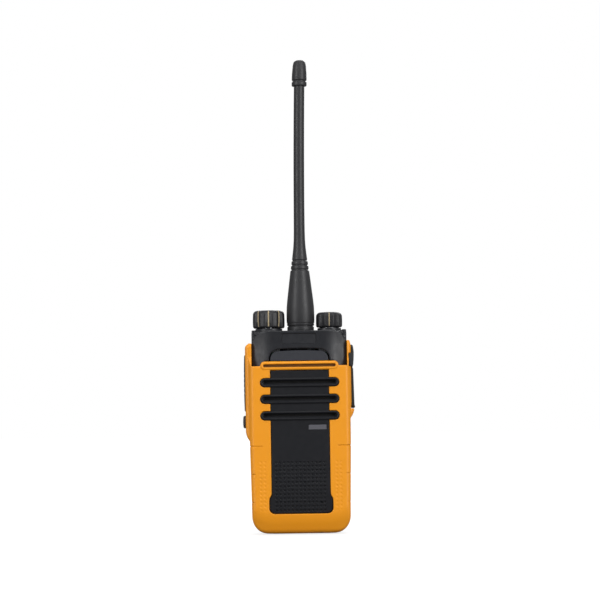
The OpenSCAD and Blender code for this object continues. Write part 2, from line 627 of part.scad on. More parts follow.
module battery_case() color(black) difference() {
    union() {
        difference() {
            pack_solid(0, pack_y + 1.3, back_y);
            pack_solid(1.3, pack_y + 1, back_y - 1.3);
        }
        block([-20.4, 8.3, 77.6], [20.4, back_y - 1, 83]);
        for (s = [-1, 1]) block([s * 9 - 2.4, 9.2, 72.6], [s * 9 + 2.4, back_y - 1, 78]);
        for (s = [-1, 1]) rod_y(12.4, back_y - 1, 2, s * 6, 64.5);
    }
    block([-19.2, 9.4, 78.9], [19.2, back_y + 1, pack_top + 1]);
    for (s = [-1, 1]) {
        rod_z(73.6, 80, 1.7, s * 9, 11.6);
        rod_y(12, back_y + 1, 1.0, s * 6, 64.5);
        slab_y(back_y - 0.3, back_y + 1) round_rect([s * 6 - 1.8, 9.8], [s * 6 + 1.8, 14.2], 0.5);
    }
    tilt_relief();
}

module battery_plate() color(black) difference() {
    union() {
        pack_solid(0, pack_y, pack_y + 1.25);
        for (s = [-1, 1]) {
            rod_x(s * 8 - 4, s * 8 + 4, toe_r, toe[1], toe[2]);
            block([s * 8 - 4, toe[1], toe[2] - 0.4], [s * 8 + 4, pack_y + 0.4, toe[2] + 0.4]);
        }
    }
    difference() {
        tilt_relief();
        for (s = [-1, 1]) block([s * 8 - 4, 0, toe[2] - 0.4], [s * 8 + 4, pack_y + 0.2, toe[2]]);
        for (s = [-1, 1]) rod_x(s * 8 - 4, s * 8 + 4, toe_r, toe[1], toe[2]);
    }
    block([-7.6, 0, 67.4], [7.6, pack_y + 0.8, 76.6]);
}

module battery_cells() color([0.45, 0.55, 0.7])
    for (x = [-21.7, 0.4]) slab_z(6.6, 71) round_rect([x, 4.4], [x + 21.3, 12.1], 2.4);

module battery_board() color(board_green) difference() {
    block([-17, 4.6, 72], [17, 5.6, 77]);
    rod_y(4, 6, 0.8, 15, 74.5);
}

// Four pads towards the radio, and two for a desktop charger.
module battery_contacts() color(gold) {
    for (x = [-4.5, -1.5, 1.5, 4.5]) block([x - 1, pack_y + 0.65, 69.4], [x + 1, pack_y + 0.8, 74.6]);
    for (x = [-6, 6]) slab_y(back_y - 0.3, back_y - 0.02) round_rect([x - 1.75, 9.85], [x + 1.75, 14.15], 0.45);
}

module battery_latch() color(charcoal) {
    block([-19, 9.6, 81], [19, back_y - 0.1, pack_top]);
    for (s = [-1, 1]) {
        block([s * 13 - 2.5, 10, pack_top - 0.1], [s * 13 + 2.5, 12, head_low - 0.1]);
        for (i = [0:2]) block([s * 15 - 3.6, back_y - 0.2, 81.3 + 0.85 * i],
            [s * 15 + 3.6, back_y + 0.5, 81.7 + 0.85 * i]);
    }
}

module latch_springs() color(metal) for (s = [-1, 1]) wire(
    [for (i = [0:6 * 14]) let (a = 360 * i / 14) [s * 9 + 1.25 * cos(a), 11.6 + 1.25 * sin(a),
        74 + 6.6 * i / (6 * 14)]], 0.22, [0, 0, 1], 5);

// ---------- belt clip ----------

module clip_base() color(black) difference() {
    union() {
        slab_y(back_y + 0.02, back_y + 1.5) round_rect([-8.7, 61.5], [8.7, 76.5], 2);
        for (s = [-1, 1]) slab_x(s * 7.7 - 0.9, s * 7.7 + 0.9) {
            translate([clip_pin[1], clip_pin[2]]) circle(1.9);
            translate([back_y + 1, clip_pin[2] - 1.9]) square([2.4, 3.8]);
        }
    }
    rod_x(-12, 12, 1.05, clip_pin[1], clip_pin[2]);
    for (s = [-1, 1]) rod_y(back_y - 1, back_y + 3, 1.05, s * 6, 64.5);
}

module clip_screws() color(metal) for (s = [-1, 1]) {
    rod_y(back_y + 1.52, back_y + 2.5, 1.9, s * 6, 64.5);
    rod_y(12.6, back_y + 2, 0.98, s * 6, 64.5);
}

module clip_axle() color(metal) rod_x(-clip_w / 2 + 0.2, clip_w / 2 - 0.2, 1, clip_pin[1], clip_pin[2]);

// A torsion spring: a leg on the base, coils round the pin, and a leg behind the clip.
module clip_spring() color(metal) {
    n = 6.5 * 14;
    coil = [for (i = [0:n]) let (a = 360 * i / 14) [-5 + 10 * i / n,
        clip_pin[1] - 1.5 * cos(a), clip_pin[2] - 1.5 * sin(a)]];
    wire(concat([[-5, clip_pin[1] - 1.5, clip_pin[2] + 4]], coil,
        [[5, clip_pin[1] + 1.5, clip_pin[2] + 1.4]]), 0.25, [1, 0, 0], 5);
}

module belt_clip() color(charcoal) difference() {
    union() {
        slab_y(clip_y, clip_y + clip_t) round_rect([-clip_w / 2, clip_low], [clip_w / 2, 79], 4);
        slab_x(-clip_w / 2 + 4, clip_w / 2 - 4) polygon([[clip_y + 1, clip_low],
            [clip_y - 3.2, clip_low + 0.6], [clip_y - 4.6, clip_low + 2.2],
            [clip_y - 4.6, clip_low + 3.2], [clip_y - 2.4, clip_low + 3.4], [clip_y, clip_low + 8],
            [clip_y + 1, clip_low + 8]]);
        for (s = [-1, 1]) slab_x(s * 9.6 - 0.8, s * 9.6 + 0.8) {
            translate([clip_pin[1], clip_pin[2]]) circle(1.85);
            translate([clip_pin[1], clip_pin[2] - 1.85]) square([clip_t + 1, 3.7]);
        }
    }
    rod_x(-12, 12, 1.05, clip_pin[1], clip_pin[2]);
}

// ---------- one line a node ----------

front_case();
front_panel();
nameplate();
model_plate();
speaker_cloth();
speaker_frame();
speaker_cone();
speaker_magnet();
microphone();
microphone_boot();
top_cover();
led_lens();
knob_board();
channel_switch();
channel_shaft();
channel_knob();
channel_knob_lines();
volume_switch();
volume_shaft();
volume_knob();
volume_knob_line();
panel_nuts();
antenna_socket();
antenna_seal();
antenna_ferrule();
antenna_whip();
antenna_core();
loading_coil();
antenna_tip();
chassis();
main_seal();
main_board();
shield_cans();
board_chips();
chassis_screws();
flex_cable();
battery_terminals();
terminal_pins();
ptt_button();
side_key();
side_boot();
side_key_board();
jack_panel();
mic_jack();
ear_jack();
flap_anchor();
anchor_screw();
accessory_flap();
battery_case();
battery_plate();
battery_cells();
battery_board();
battery_contacts();
battery_latch();
latch_springs();
clip_base();
clip_screws();
clip_axle();  // clip_pin
clip_spring();
belt_clip();
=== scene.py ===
import math
import bpy
import numpy as np
from mathutils import Matrix, Vector


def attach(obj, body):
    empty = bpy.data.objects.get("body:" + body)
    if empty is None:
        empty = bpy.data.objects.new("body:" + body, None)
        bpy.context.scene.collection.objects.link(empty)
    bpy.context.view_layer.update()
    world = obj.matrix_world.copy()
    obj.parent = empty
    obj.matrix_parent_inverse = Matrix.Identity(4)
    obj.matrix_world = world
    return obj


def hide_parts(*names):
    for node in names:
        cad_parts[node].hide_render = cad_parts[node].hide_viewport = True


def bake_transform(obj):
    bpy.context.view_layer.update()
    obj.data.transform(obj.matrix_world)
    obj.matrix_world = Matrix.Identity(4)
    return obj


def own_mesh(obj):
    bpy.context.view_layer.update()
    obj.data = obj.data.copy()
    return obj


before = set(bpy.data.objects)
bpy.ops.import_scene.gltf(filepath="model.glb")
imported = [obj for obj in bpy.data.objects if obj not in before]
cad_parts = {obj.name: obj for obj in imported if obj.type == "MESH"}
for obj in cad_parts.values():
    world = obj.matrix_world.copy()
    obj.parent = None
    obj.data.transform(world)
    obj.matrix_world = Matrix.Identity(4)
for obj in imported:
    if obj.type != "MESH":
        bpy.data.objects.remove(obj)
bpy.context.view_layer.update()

# ---------------------------------------------------------------- sizes, in millimetres

FRONT, JOINT, BACK = -14.5, 2.5, 14.5      # the radio's front, the battery joint, the battery's back
DECK, SPLIT = 98.3, 81.2                   # the head's top, and where the head meets the case
EAR, LEFT_DROP = 93.4, 1.1                 # the right grip's top, and how much lower the left one ends
SIDE = 24.2                                # the case's half width under the grips
THROUGH = -11.8                            # a cut down to this y opens the case's front wall
SLOTS = (57.2, 65.2, 73.2)                 # the speaker slots
RING = 81.3                                # the orange slot ring
ARCH_BOW = 0.003                           # the arch over the ring drops by this times x squared
GROOVES = [15.6 + 13.5 * i for i in range(3)]
KEY_Y = -4.6                               # the middle of the side keys and of the socket cover
TALK, OPTION = (59.5, 87.0), (51.4, 57.5)  # the side keys' lower and upper ends
SOCKETS = (59.8, 79.8)                     # the lower and upper ends of the recess for the sockets
CHANNEL, VOLUME, WHIP_X = -14.7, 14.9, 0.9     # where the knobs and the antenna stand
TURN_Y = 0.5                               # they turn about axes in this plane
KNOB_FOOT, CHANNEL_TOP, VOLUME_TOP = 100.2, 108.8, 107.7
ANCHOR_FOOT = 80.7                         # where the rubber anchor of the socket cover begins
PIN_Y, PIN_Z = 17.9, 71                    # the belt clip's pin

# ---------------------------------------------------------------- distance fields, negative inside

def root(*a):
    """The length of a vector given by its parts."""
    return np.sqrt(sum(np.square(k) for k in a))


def meet(a, b, r=0.0):
    """The part inside both, its edge rounded to radius r."""
    if not r:
        return np.maximum(a, b)
    return np.minimum(-r, np.maximum(a, b)) + root(np.maximum(r + a, 0), np.maximum(r + b, 0))


def join(a, b, r=0.0):
    """The part inside either, with a fillet of radius r."""
    return -meet(-a, -b, r)


def cut(a, b, r=0.0):
    """The part inside a and outside b, its edge rounded to radius r."""
    return meet(a, -b, r)


def all_of(first, *others):
    """The part inside all of them, with sharp edges."""
    for d in others:
        first = np.maximum(first, d)
    return first


def soft(a, b, k):
    """The part inside both, with a crease softened over a width k."""
    h = np.maximum(k - np.abs(a - b), 0) / k
    return np.maximum(a, b) + h * h * k / 4


def span(u, lo, hi):
    """Between two places along u."""
    return np.abs(u - (lo + hi) / 2) - (hi - lo) / 2


def rect(u, v, lo, hi, r=0.0):
    """A rectangle from corner lo to corner hi, its corners rounded to radius r."""
    qu, qv = span(u, lo[0], hi[0]) + r, span(v, lo[1], hi[1]) + r
    return root(np.maximum(qu, 0), np.maximum(qv, 0)) + np.minimum(np.maximum(qu, qv), 0) - r


def stadium(u, v, w, h):
    """A slot w wide and h high with round ends, about the middle."""
    return rect(u, v, (-w / 2, -h / 2), (w / 2, h / 2), h / 2 - 1e-4)


def slab(d, u, lo, hi, r=0.0):
    """A flat shape d, thickened from lo to hi along u."""
    return meet(d, span(u, lo, hi), r)


def plane(u, v, p, q):
    """Positive on the left-hand side of the line from p to q."""
    du, dv = q[0] - p[0], q[1] - p[1]
    return ((v - p[1]) * du - (u - p[0]) * dv) / math.hypot(du, dv)


def repeat(u, first, pitch, count):
    """Distance along u to the nearest of count places."""
    i = np.clip(np.round((u - first) / pitch), 0, count - 1)
    return u - first - pitch * i


# ---------------------------------------------------------------- meshing

def put(name, co, faces, body, mat, normals=None, stands=(), slot=None):
    """A mesh object from millimetre points and equal-length faces, riding on a CAD body."""
    me = bpy.data.meshes.new(name)
    faces = np.asarray(faces, np.int32)
    k = faces.shape[1]
    me.vertices.add(len(co))
    me.vertices.foreach_set("co", (np.asarray(co, float) * 0.001).ravel())
    me.loops.add(faces.size)
    me.loops.foreach_set("vertex_index", faces.ravel())
    me.polygons.add(len(faces))
    me.polygons.foreach_set("loop_start", np.arange(0, faces.size, k, dtype=np.int32))
    me.update(calc_edges=True)
    me.polygons.foreach_set("use_smooth", np.ones(len(faces), bool))
    if normals is not None:
        me.normals_split_custom_set_from_vertices(normals)
    else:
        me.set_sharp_from_angle(angle=math.radians(38))
    ob = bpy.data.objects.new(name, me)
    bpy.context.scene.collection.objects.link(ob)
    me.materials.append(mat)
    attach(ob, body)
    if stands:
        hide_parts(*stands)
    return ob


def gradient(f, p, e):
    """The slope of f at the points p, over steps of e to both sides."""
    g = np.empty_like(p)
    for i in range(3):
        d = np.zeros(3)
        d[i] = e
        a, b = p + d, p - d
        g[:, i] = (f(*a.T) - f(*b.T)) / (2 * e)
    return g


def net_points(v, inside):
    """Surface nets: a point in each grid cell that the surface crosses, and the cells' point numbers."""
    corner = [inside[i:v.shape[0] - 1 + i, j:v.shape[1] - 1 + j, k:v.shape[2] - 1 + k]
              for i in (0, 1) for j in (0, 1) for k in (0, 1)]
    total = sum(c.astype(np.int8) for c in corner)
    cells = np.argwhere((total > 0) & (total < 8))
    index = np.full(total.shape, -1, np.int32)
    index[tuple(cells.T)] = np.arange(len(cells))
    pos, hits = np.zeros((len(cells), 3)), np.zeros(len(cells))
    for axis in range(3):
        step = np.eye(3, dtype=int)[axis]
        for m in range(4):
            off = np.insert(np.array([m & 1, m >> 1]), axis, 0)
            a = v[tuple((cells + off).T)].astype(float)
            b = v[tuple((cells + off + step).T)].astype(float)
            hit = (a < 0) != (b < 0)
            t = np.where(hit, a / np.where(hit, a - b, 1), 0)
            pos += hit[:, None] * (off + t[:, None] * step)
            hits += hit
    return cells + pos / hits[:, None], index


def net_quads(inside, index):
    """A quad round each grid edge that the surface crosses, facing outwards."""
    quads = []
    for axis in range(3):
        u, w = [(1, 2), (2, 0), (0, 1)][axis]
        near, far = [slice(None)] * 3, [slice(None)] * 3
        near[axis], far[axis] = slice(0, -1), slice(1, None)
        a, b = inside[tuple(near)], inside[tuple(far)]
        e = np.argwhere(a != b)
        top = inside.shape
        e = e[(e[:, u] > 0) & (e[:, w] > 0) & (e[:, u] < top[u] - 1) & (e[:, w] < top[w] - 1)]
        eu, ew = np.eye(3, dtype=int)[u], np.eye(3, dtype=int)[w]
        q = np.stack([index[tuple((e - d).T)] for d in (eu + ew, ew, 0 * eu, eu)], 1)
        flip = ~a[tuple(e.T)]
        q[flip] = q[flip][:, ::-1]
        quads.append(q)
    return np.concatenate(quads)


def carve(name, f, lo, hi, h, body, mat, **more):
    """Meshes f < 0 by surface nets on a grid of pitch h, then pulls the points onto the surface."""
    h *= 1.0
    axes = [np.arange(lo[i] - 1.5 * h, hi[i] + 2 * h, h) for i in range(3)]
    x, y, z = np.meshgrid(*axes, indexing="ij", sparse=True)
    v = np.array(np.broadcast_to(f(x, y, z), [len(a) for a in axes]), np.float32)
    inside = v < 0
    p, index = net_points(v, inside)
    p = np.array([a[0] for a in axes]) + h * p
    for _ in range(3):
        g = gradient(f, p, 0.02)
        g2 = np.maximum((g * g).sum(1), 0.05)
        move = -(f(*p.T) / g2)[:, None] * g
        far = np.maximum(root(*move.T) / (0.5 * h), 1)
        p += move / far[:, None]
    n = gradient(f, p, 0.09)
    n /= np.maximum(root(*n.T), 1e-6)[:, None]
    return put(name, p, net_quads(inside, index), body, mat, normals=n, **more)


def fillets(points, radii, steps=5):
    """A profile with its corners rounded, close to arcs of the given radii."""
    out = [points[0]]
    for i in range(1, len(points) - 1):
        a, b, c = (np.array(points[i + d], float) for d in (-1, 0, 1))
        u, w = (a - b), (c - b)
        lu, lw = math.hypot(*u), math.hypot(*w)
        r, u, w = radii[i], u / lu, w / lw
        turn = math.acos(max(-1, min(1, float(u @ w))))
        d = r / math.tan(turn / 2) if turn > 1e-3 else 0
        d = min(d, 0.45 * lu, 0.45 * lw)
        if r <= 0 or d < 1e-3 or turn > math.pi - 0.02:
            out.append(points[i])
            continue
        for s in range(steps + 1):
            t = s / steps
            out.append(tuple((1 - t) ** 2 * (b + u * d) + 2 * t * (1 - t) * b + t * t * (b + w * d)))
    return out + [points[-1]]


def lathe(name, profile, centre, body, mat, segments=96, sway=None, **more):
    """Turns a profile of (radius, height) about a vertical axis; it starts and ends on any radius."""
    prof = np.array(profile, float)
    a = np.linspace(0, 2 * math.pi, segments, endpoint=False)
    co = np.stack([centre[0] + prof[:, 0, None] * np.cos(a), centre[1] + prof[:, 0, None] * np.sin(a),
                   np.broadcast_to(prof[:, 1, None], (len(prof), segments))], -1).reshape(-1, 3)
    if sway:
        co[:, 0] += sway(co[:, 2])
    i, j = np.meshgrid(np.arange(len(prof)), np.arange(segments), indexing="ij")
    i2, j2 = (i + 1) % len(prof), (j + 1) % segments
    quads = np.stack([i * segments + j, i * segments + j2, i2 * segments + j2, i2 * segments + j], -1)
    return put(name, co, quads.reshape(-1, 4), body, mat, **more)


def wire(name, path, r, body, mat, sides=10, **more):
    """A round wire along a path, by parallel transport."""
    path = np.array(path, float)
    t = np.gradient(path, axis=0)
    t /= root(*t.T)[:, None]
    n = np.cross(t[0], [0.31, 0.52, 0.79])
    rings = []
    for k in range(len(path)):
        n = n - (n @ t[k]) * t[k]
        n /= np.linalg.norm(n)
        b = np.cross(t[k], n)
        for s in range(sides):
            a = 2 * math.pi * s / sides
            rings.append(path[k] + r * (math.cos(a) * n + math.sin(a) * b))
    rings += [path[0]] * sides + [path[-1]] * sides
    m, q = len(path), []
    for k in range(m - 1):
        for s in range(sides):
            s2 = (s + 1) % sides
            q.append([k * sides + s, k * sides + s2, (k + 1) * sides + s2, (k + 1) * sides + s])
    for e, base in ((0, 0), (1, (m - 1) * sides)):
        for s in range(sides):
            s2 = (s + 1) % sides
            c = (m + e) * sides
            q.append([base + s2, base + s, c + s, c + s2] if e == 0 else
                     [base + s, base + s2, c + s2, c + s])
    return put(name, rings, q, body, mat, **more)


def helix(turns, points):
    """How far along a coil its points are, from 0 to 1, and their angles."""
    t = np.linspace(0, 1, points)
    return t, t * turns * 2 * math.pi


# ---------------------------------------------------------------- materials

def srgb(*c):
    """A linear colour from red, green and blue, each from 0 to 255."""
    return tuple(((k / 255) / 12.92 if k / 255 < 0.04045 else ((k / 255 + 0.055) / 1.055) ** 2.4)
                 for k in c) + (1.0,)


class Nodes:
    """A small helper to build a node material."""

    def __init__(self, name):
        self.mat = bpy.data.materials.new(name)
        self.mat.use_nodes = True
        self.tree = self.mat.node_tree
        self.bsdf = self.tree.nodes["Principled BSDF"]
        self.co = self.add("ShaderNodeTexCoord").outputs["Object"]

    def add(self, kind, **values):
        """A new node; a name that begins with _ sets a property, any other one an input."""
        n = self.tree.nodes.new(kind)
        for key, val in values.items():
            if key.startswith("_"):
                setattr(n, key[1:], val)
            elif hasattr(val, "is_linked"):
                self.tree.links.new(val, n.inputs[key.replace("__", " ")])
            else:
                n.inputs[key.replace("__", " ")].default_value = val
        return n

    def link(self, out, target):
        self.tree.links.new(out, target)

    def noise(self, scale, detail=2.0, rough=0.5, stretch=None):
        co = self.co
        if stretch:
            m = self.add("ShaderNodeMapping")
            self.link(co, m.inputs["Vector"])
            m.inputs["Scale"].default_value = stretch
            co = m.outputs["Vector"]
        n = self.add("ShaderNodeTexNoise", Scale=scale, Detail=detail, Roughness=rough)
        self.link(co, n.inputs["Vector"])
        return n.outputs["Fac"]

    def ramp(self, fac, lo, hi, a, b):
        m = self.add("ShaderNodeMapRange")
        self.link(fac, m.inputs["Value"])
        for key, val in (("From Min", lo), ("From Max", hi), ("To Min", a), ("To Max", b)):
            m.inputs[key].default_value = val
        return m.outputs["Result"]

    def mix(self, fac, a, b):
        m = self.add("ShaderNodeMix", _data_type="RGBA")
        self.link(fac, m.inputs[0])
        for val, key in ((a, 6), (b, 7)):       # the node's two colour inputs
            if hasattr(val, "is_linked"):
                self.link(val, m.inputs[key])
            else:
                m.inputs[key].default_value = val
        return m.outputs[2]

    def bump(self, height, strength, distance):
        b = self.add("ShaderNodeBump", Strength=strength, Distance=distance)
        self.link(height, b.inputs["Height"])
        return b.outputs["Normal"]

    def calc(self, operation, *values):
        n = self.add("ShaderNodeMath", _operation=operation)
        for socket, val in zip(n.inputs, values):
            if hasattr(val, "is_linked"):
                self.link(val, socket)
            else:
                socket.default_value = val
        return n.outputs[0]

    def along(self, axis):
        """The object's own coordinate along an axis, in metres."""
        sep = self.add("ShaderNodeSeparateXYZ")
        self.link(self.co, sep.inputs[0])
        return sep.outputs[axis]


def shade(c, k):
    """A colour made k times as bright."""
    return tuple(min(1, v * k) for v in c[:3]) + (1.0,)


def slot_shadow(m, tone, colour):
    """Painted shadow: the bottom of the slot in the orange ring is darkened to a dull brown, standing in for
    the shade that falls there.
    """
    mask = 1.0
    for axis, middle, inside, outside in (("Z", RING * 0.001, 0.0009, 0.0014), ("Y", 0.0, 0.0137, 0.0144),
                                          ("X", 0.0, 0.0173, 0.0176)):
        far = m.calc("ABSOLUTE", m.calc("SUBTRACT", m.along(axis), middle))
        mask = m.calc("MULTIPLY", mask, m.ramp(far, inside, outside, 1.0, 0.0))
    return m.mix(mask, tone, shade(colour, 0.22))


def arch_painted_light(m, tone, colour):
    """Painted light: the arch above the orange ring leans back and is painted a shade lighter than the rest
    of the panel, for the light it catches from above.
    """
    return m.mix(m.ramp(m.along("Z"), 0.0812, 0.0818, 0.0, 1.0), tone, shade(colour, 2.6))


def moulded(name, colour, rough=0.5, grain=2600, depth=0.00003, spread=0.06, ior=1.46, patch=None):
    """Moulded plastic or rubber: fine grain, slow colour drift and uneven gloss."""
    m = Nodes(name)
    slow = m.noise(55, 3, 0.6)
    fine = m.noise(grain, 3, 0.65)
    tone = m.mix(slow, shade(colour, 1 - spread), shade(colour, 1 + spread))
    # a patch paints shade or light into the colour: painted shadow in the orange ring's slot, painted light
    # on the panel's arch
    if patch:
        tone = patch(m, tone, colour)
    m.link(tone, m.bsdf.inputs["Base Color"])
    m.link(m.ramp(m.noise(420, 2), 0.3, 0.7, rough - 0.05, rough + 0.06), m.bsdf.inputs["Roughness"])
    m.link(m.bump(fine, 0.55, depth), m.bsdf.inputs["Normal"])
    m.bsdf.inputs["IOR"].default_value = ior
    return m.mat


def metal(name, colour, rough=0.32, brushed=(1, 1, 1), scale=900):
    """Bare or plated metal with fine streaks."""
    m = Nodes(name)
    streak = m.noise(scale, 3, 0.6, brushed)
    m.link(m.mix(m.noise(70, 2), shade(colour, 0.9), shade(colour, 1.06)), m.bsdf.inputs["Base Color"])
    m.link(m.ramp(streak, 0.25, 0.75, rough - 0.08, rough + 0.12), m.bsdf.inputs["Roughness"])
    m.link(m.bump(streak, 0.3, 0.00002), m.bsdf.inputs["Normal"])
    m.bsdf.inputs["Metallic"].default_value = 1.0
    return m.mat


def circuit(name):
    """Solder mask with copper tracks under it, pads and tiny vias."""
    m = Nodes(name)
    green, track, pad = srgb(16, 74, 42), srgb(30, 104, 60), srgb(196, 170, 110)
    lines = []
    for axis, waves in (("X", 1520.0), ("Z", 1220.0)):
        wave = m.calc("SINE", m.calc("MULTIPLY", m.along(axis), waves))
        lines.append(m.ramp(wave, 0.55, 0.75, 0.0, 1.0))
    region = m.ramp(m.noise(120, 1), 0.48, 0.5, 0.0, 1.0)
    pick = m.add("ShaderNodeMix", _data_type="FLOAT")
    m.link(region, pick.inputs[0])
    m.link(lines[0], pick.inputs[2])
    m.link(lines[1], pick.inputs[3])
    base = m.mix(pick.outputs[0], green, track)
    vor = m.add("ShaderNodeTexVoronoi", Scale=420.0)
    m.link(m.co, vor.inputs["Vector"])
    via = m.ramp(vor.outputs["Distance"], 0.1, 0.14, 1.0, 0.0)
    m.link(m.mix(via, base, pad), m.bsdf.inputs["Base Color"])
    m.link(m.ramp(m.noise(300, 2), 0.3, 0.7, 0.24, 0.36), m.bsdf.inputs["Roughness"])
    m.link(m.bump(pick.outputs[0], 0.4, 0.00004), m.bsdf.inputs["Normal"])
    return m.mat


def woven(name, colour):
    """Fine cloth: two crossing sets of threads."""
    m = Nodes(name)
    waves = []
    for d in ("X", "Z"):
        w = m.add("ShaderNodeTexWave", _bands_direction=d, Scale=560.0)
        m.link(m.co, w.inputs["Vector"])
        waves.append(w.outputs["Fac"])
    weave = m.calc("MULTIPLY", *waves)
    m.link(m.mix(weave, shade(colour, 0.4), shade(colour, 1.5)), m.bsdf.inputs["Base Color"])
    m.bsdf.inputs["Roughness"].default_value = 0.85
    m.link(m.bump(weave, 0.8, 0.0001), m.bsdf.inputs["Normal"])
    return m.mat


def sleeve(name):
    """Printed shrink sleeve of a battery cell: pale band round the middle, no lettering."""
    m = Nodes(name)
    band = m.ramp(m.along("Z"), 0.0600, 0.0602, 0.0, 1.0)
    m.link(m.mix(band, srgb(64, 92, 128), srgb(196, 202, 208)), m.bsdf.inputs["Base Color"])
    m.link(m.ramp(m.noise(160, 3), 0.3, 0.7, 0.25, 0.42), m.bsdf.inputs["Roughness"])
    m.link(m.bump(m.noise(240, 3), 0.4, 0.0001), m.bsdf.inputs["Normal"])
    return m.mat


def frosted(name, colour):
    """Clear plastic with a slightly uneven surface."""
    m = Nodes(name)
    m.bsdf.inputs["Base Color"].default_value = colour
    m.link(m.ramp(m.noise(600, 2), 0.3, 0.7, 0.08, 0.2), m.bsdf.inputs["Roughness"])
    m.bsdf.inputs["Transmission Weight"].default_value = 0.45
    return m.mat


# the orange gets painted shadow in its ring's slot
ORANGE = moulded("orange_plastic", srgb(224, 143, 12), 0.44, depth=0.00002, spread=0.03, patch=slot_shadow)
BLACK = moulded("black_plastic", srgb(31, 32, 36), 0.36, depth=0.00003, ior=1.4)
# the panel gets painted light on its arch
PANEL = moulded("panel_plastic", srgb(21, 22, 26), 0.42, depth=0.00003, ior=1.34, patch=arch_painted_light)
KNOB = moulded("knob_plastic", srgb(31, 31, 34), 0.44, depth=0.00002, ior=1.4)
CHARCOAL = moulded("charcoal_plastic", srgb(33, 33, 36), 0.46, depth=0.00003)
RUBBER = moulded("soft_rubber", srgb(26, 26, 28), 0.58, depth=0.00003)
WHIP = moulded("antenna_rubber", srgb(42, 42, 44), 0.42, grain=1800, depth=0.00003, ior=1.38)
SEAL = moulded("seal_rubber", srgb(160, 62, 40), 0.45)
PLATE = moulded("plate_grey", srgb(82, 82, 88), 0.4)
NAME = moulded("nameplate_grey", srgb(31, 32, 36), 0.36)
CREAM = moulded("cream_paint", srgb(166, 150, 118), 0.5)
CONE = moulded("cone_paper", srgb(50, 47, 44), 0.8, grain=900, depth=0.00008)
CHIP = moulded("moulded_black", srgb(24, 24, 25), 0.42)
FILM = moulded("flex_film", srgb(196, 116, 30), 0.25)
CELL = sleeve("cell_sleeve")
CLOTH = woven("speaker_cloth", srgb(16, 16, 17))
BOARD = circuit("circuit_board")
STEEL = metal("plated_steel", srgb(188, 190, 194), 0.3)
CAN = metal("tin_plate", srgb(196, 198, 198), 0.34, (1, 1, 8))
ALLOY = metal("cast_alloy", srgb(150, 152, 155), 0.5, scale=500)
GOLD = metal("gold_plate", srgb(214, 170, 88), 0.26)
COPPER = metal("copper_wire", srgb(190, 104, 60), 0.3)
LENS = frosted("clear_lens", srgb(214, 214, 205))

# ---------------------------------------------------------------- the case

def half_case(z):
    """The case's half width, which narrows towards the foot."""
    return 24.4 - 0.7 * np.clip((45 - z) / 39, 0, 1)


def key_plan(y, z, half, ends, grow=0.0, r=2.0):
    """A rounded rectangle round the keys' middle plane, seen from the side."""
    return rect(y, z, (KEY_Y - half, ends[0] - grow), (KEY_Y + half, ends[1] + grow), r)


def case_skin(ax, y, z):
    """The rounded front, flanks and foot, without the grips."""
    skin = meet(meet(ax - half_case(z), -z, 8.6), FRONT - y, 2.6)
    chin = 8.3 + 2.6 * np.square(np.clip((ax - 12.5) / 10, 0, 1.2))
    slope = np.maximum(-0.92 * (y - FRONT) - 0.392 * (z - chin), -50)
    return soft(skin, soft(slope, -z, 3.0), 1.6)


def grip(x, y, z, out, low, rise, r, top):
    """A raised grip on the right-hand side."""
    side = rect(x, z, (16, low), (out, top), r)
    side = meet(side, -plane(x, z, (SIDE, low), (out, low + rise)), 1.6)
    return slab(side, y, -12.0, 1.5, 1.7)


def grips(x, y, z):
    """Both grips, and the small lip at the right one's foot."""
    right = grip(x, y, z, 25.0, 57.6, 2.0, 2.6, EAR)
    left = grip(-x, y, z, 26.3, 44.6, 2.8, 2.4, EAR - LEFT_DROP)
    lip = meet(rect(x, z, (16, 55.4), (26.4, 60.3), 0.6), -plane(x, z, (24.3, 55.4), (26.4, 58.6)), 1.2)
    return np.minimum.reduce([right, left, slab(lip, y, -11.6, 1.4, 1.2)])


def slot_ring(shell, x, y, z):
    """Adds the raised orange ring with its blind slot."""
    ring = slab(stadium(x, z - RING, 37.9, 4.3), y, FRONT - 0.35, -11.95, 1.0)
    return cut(join(shell, ring), meet(stadium(x, z - RING, 35.0, 1.4), y + 13.15, 0.1), 0.42)


def case_hollow(ax, y, z):
    """The room inside the case, open to the back and under the head."""
    floor = -11.9
    inner = np.maximum(meet(ax - half_case(z) + 1.8, 1.8 - z, 4.3), floor - y)
    return np.maximum(inner, -0.927 * (y - floor) - 0.374 * (z - 8))


def side_openings(shell, x, y, z):
    """Opens the left flank for the keys and the right one for the sockets and the anchor's tab."""
    keys = np.minimum(key_plan(y, z, 4.25, TALK, 0.2), key_plan(y, z, 3.1, OPTION, 0.2))
    shell = cut(shell, slab(keys, x, -29, -25), 0.25)
    pocket = np.maximum(key_plan(y, z, 5, (50.4, 88.1)), span(x, -25.4, -23.6))
    way = np.maximum(key_plan(y, z, 4, (50.8, 80.6), r=1.0), span(x, -24, -22))
    recess = np.maximum(key_plan(y, z, 4.4, SOCKETS, r=0.8), span(x, 22, 27))
    recess = np.maximum(recess, np.minimum(SOCKETS[0] + 0.6 - z, x - 25.0))
    shell = cut(shell, np.minimum.reduce([pocket, way, recess]))
    tab = all_of(23.9 - x, span(z, ANCHOR_FOOT, 87.2), y + 9.6)
    return cut(shell, tab, 0.1)


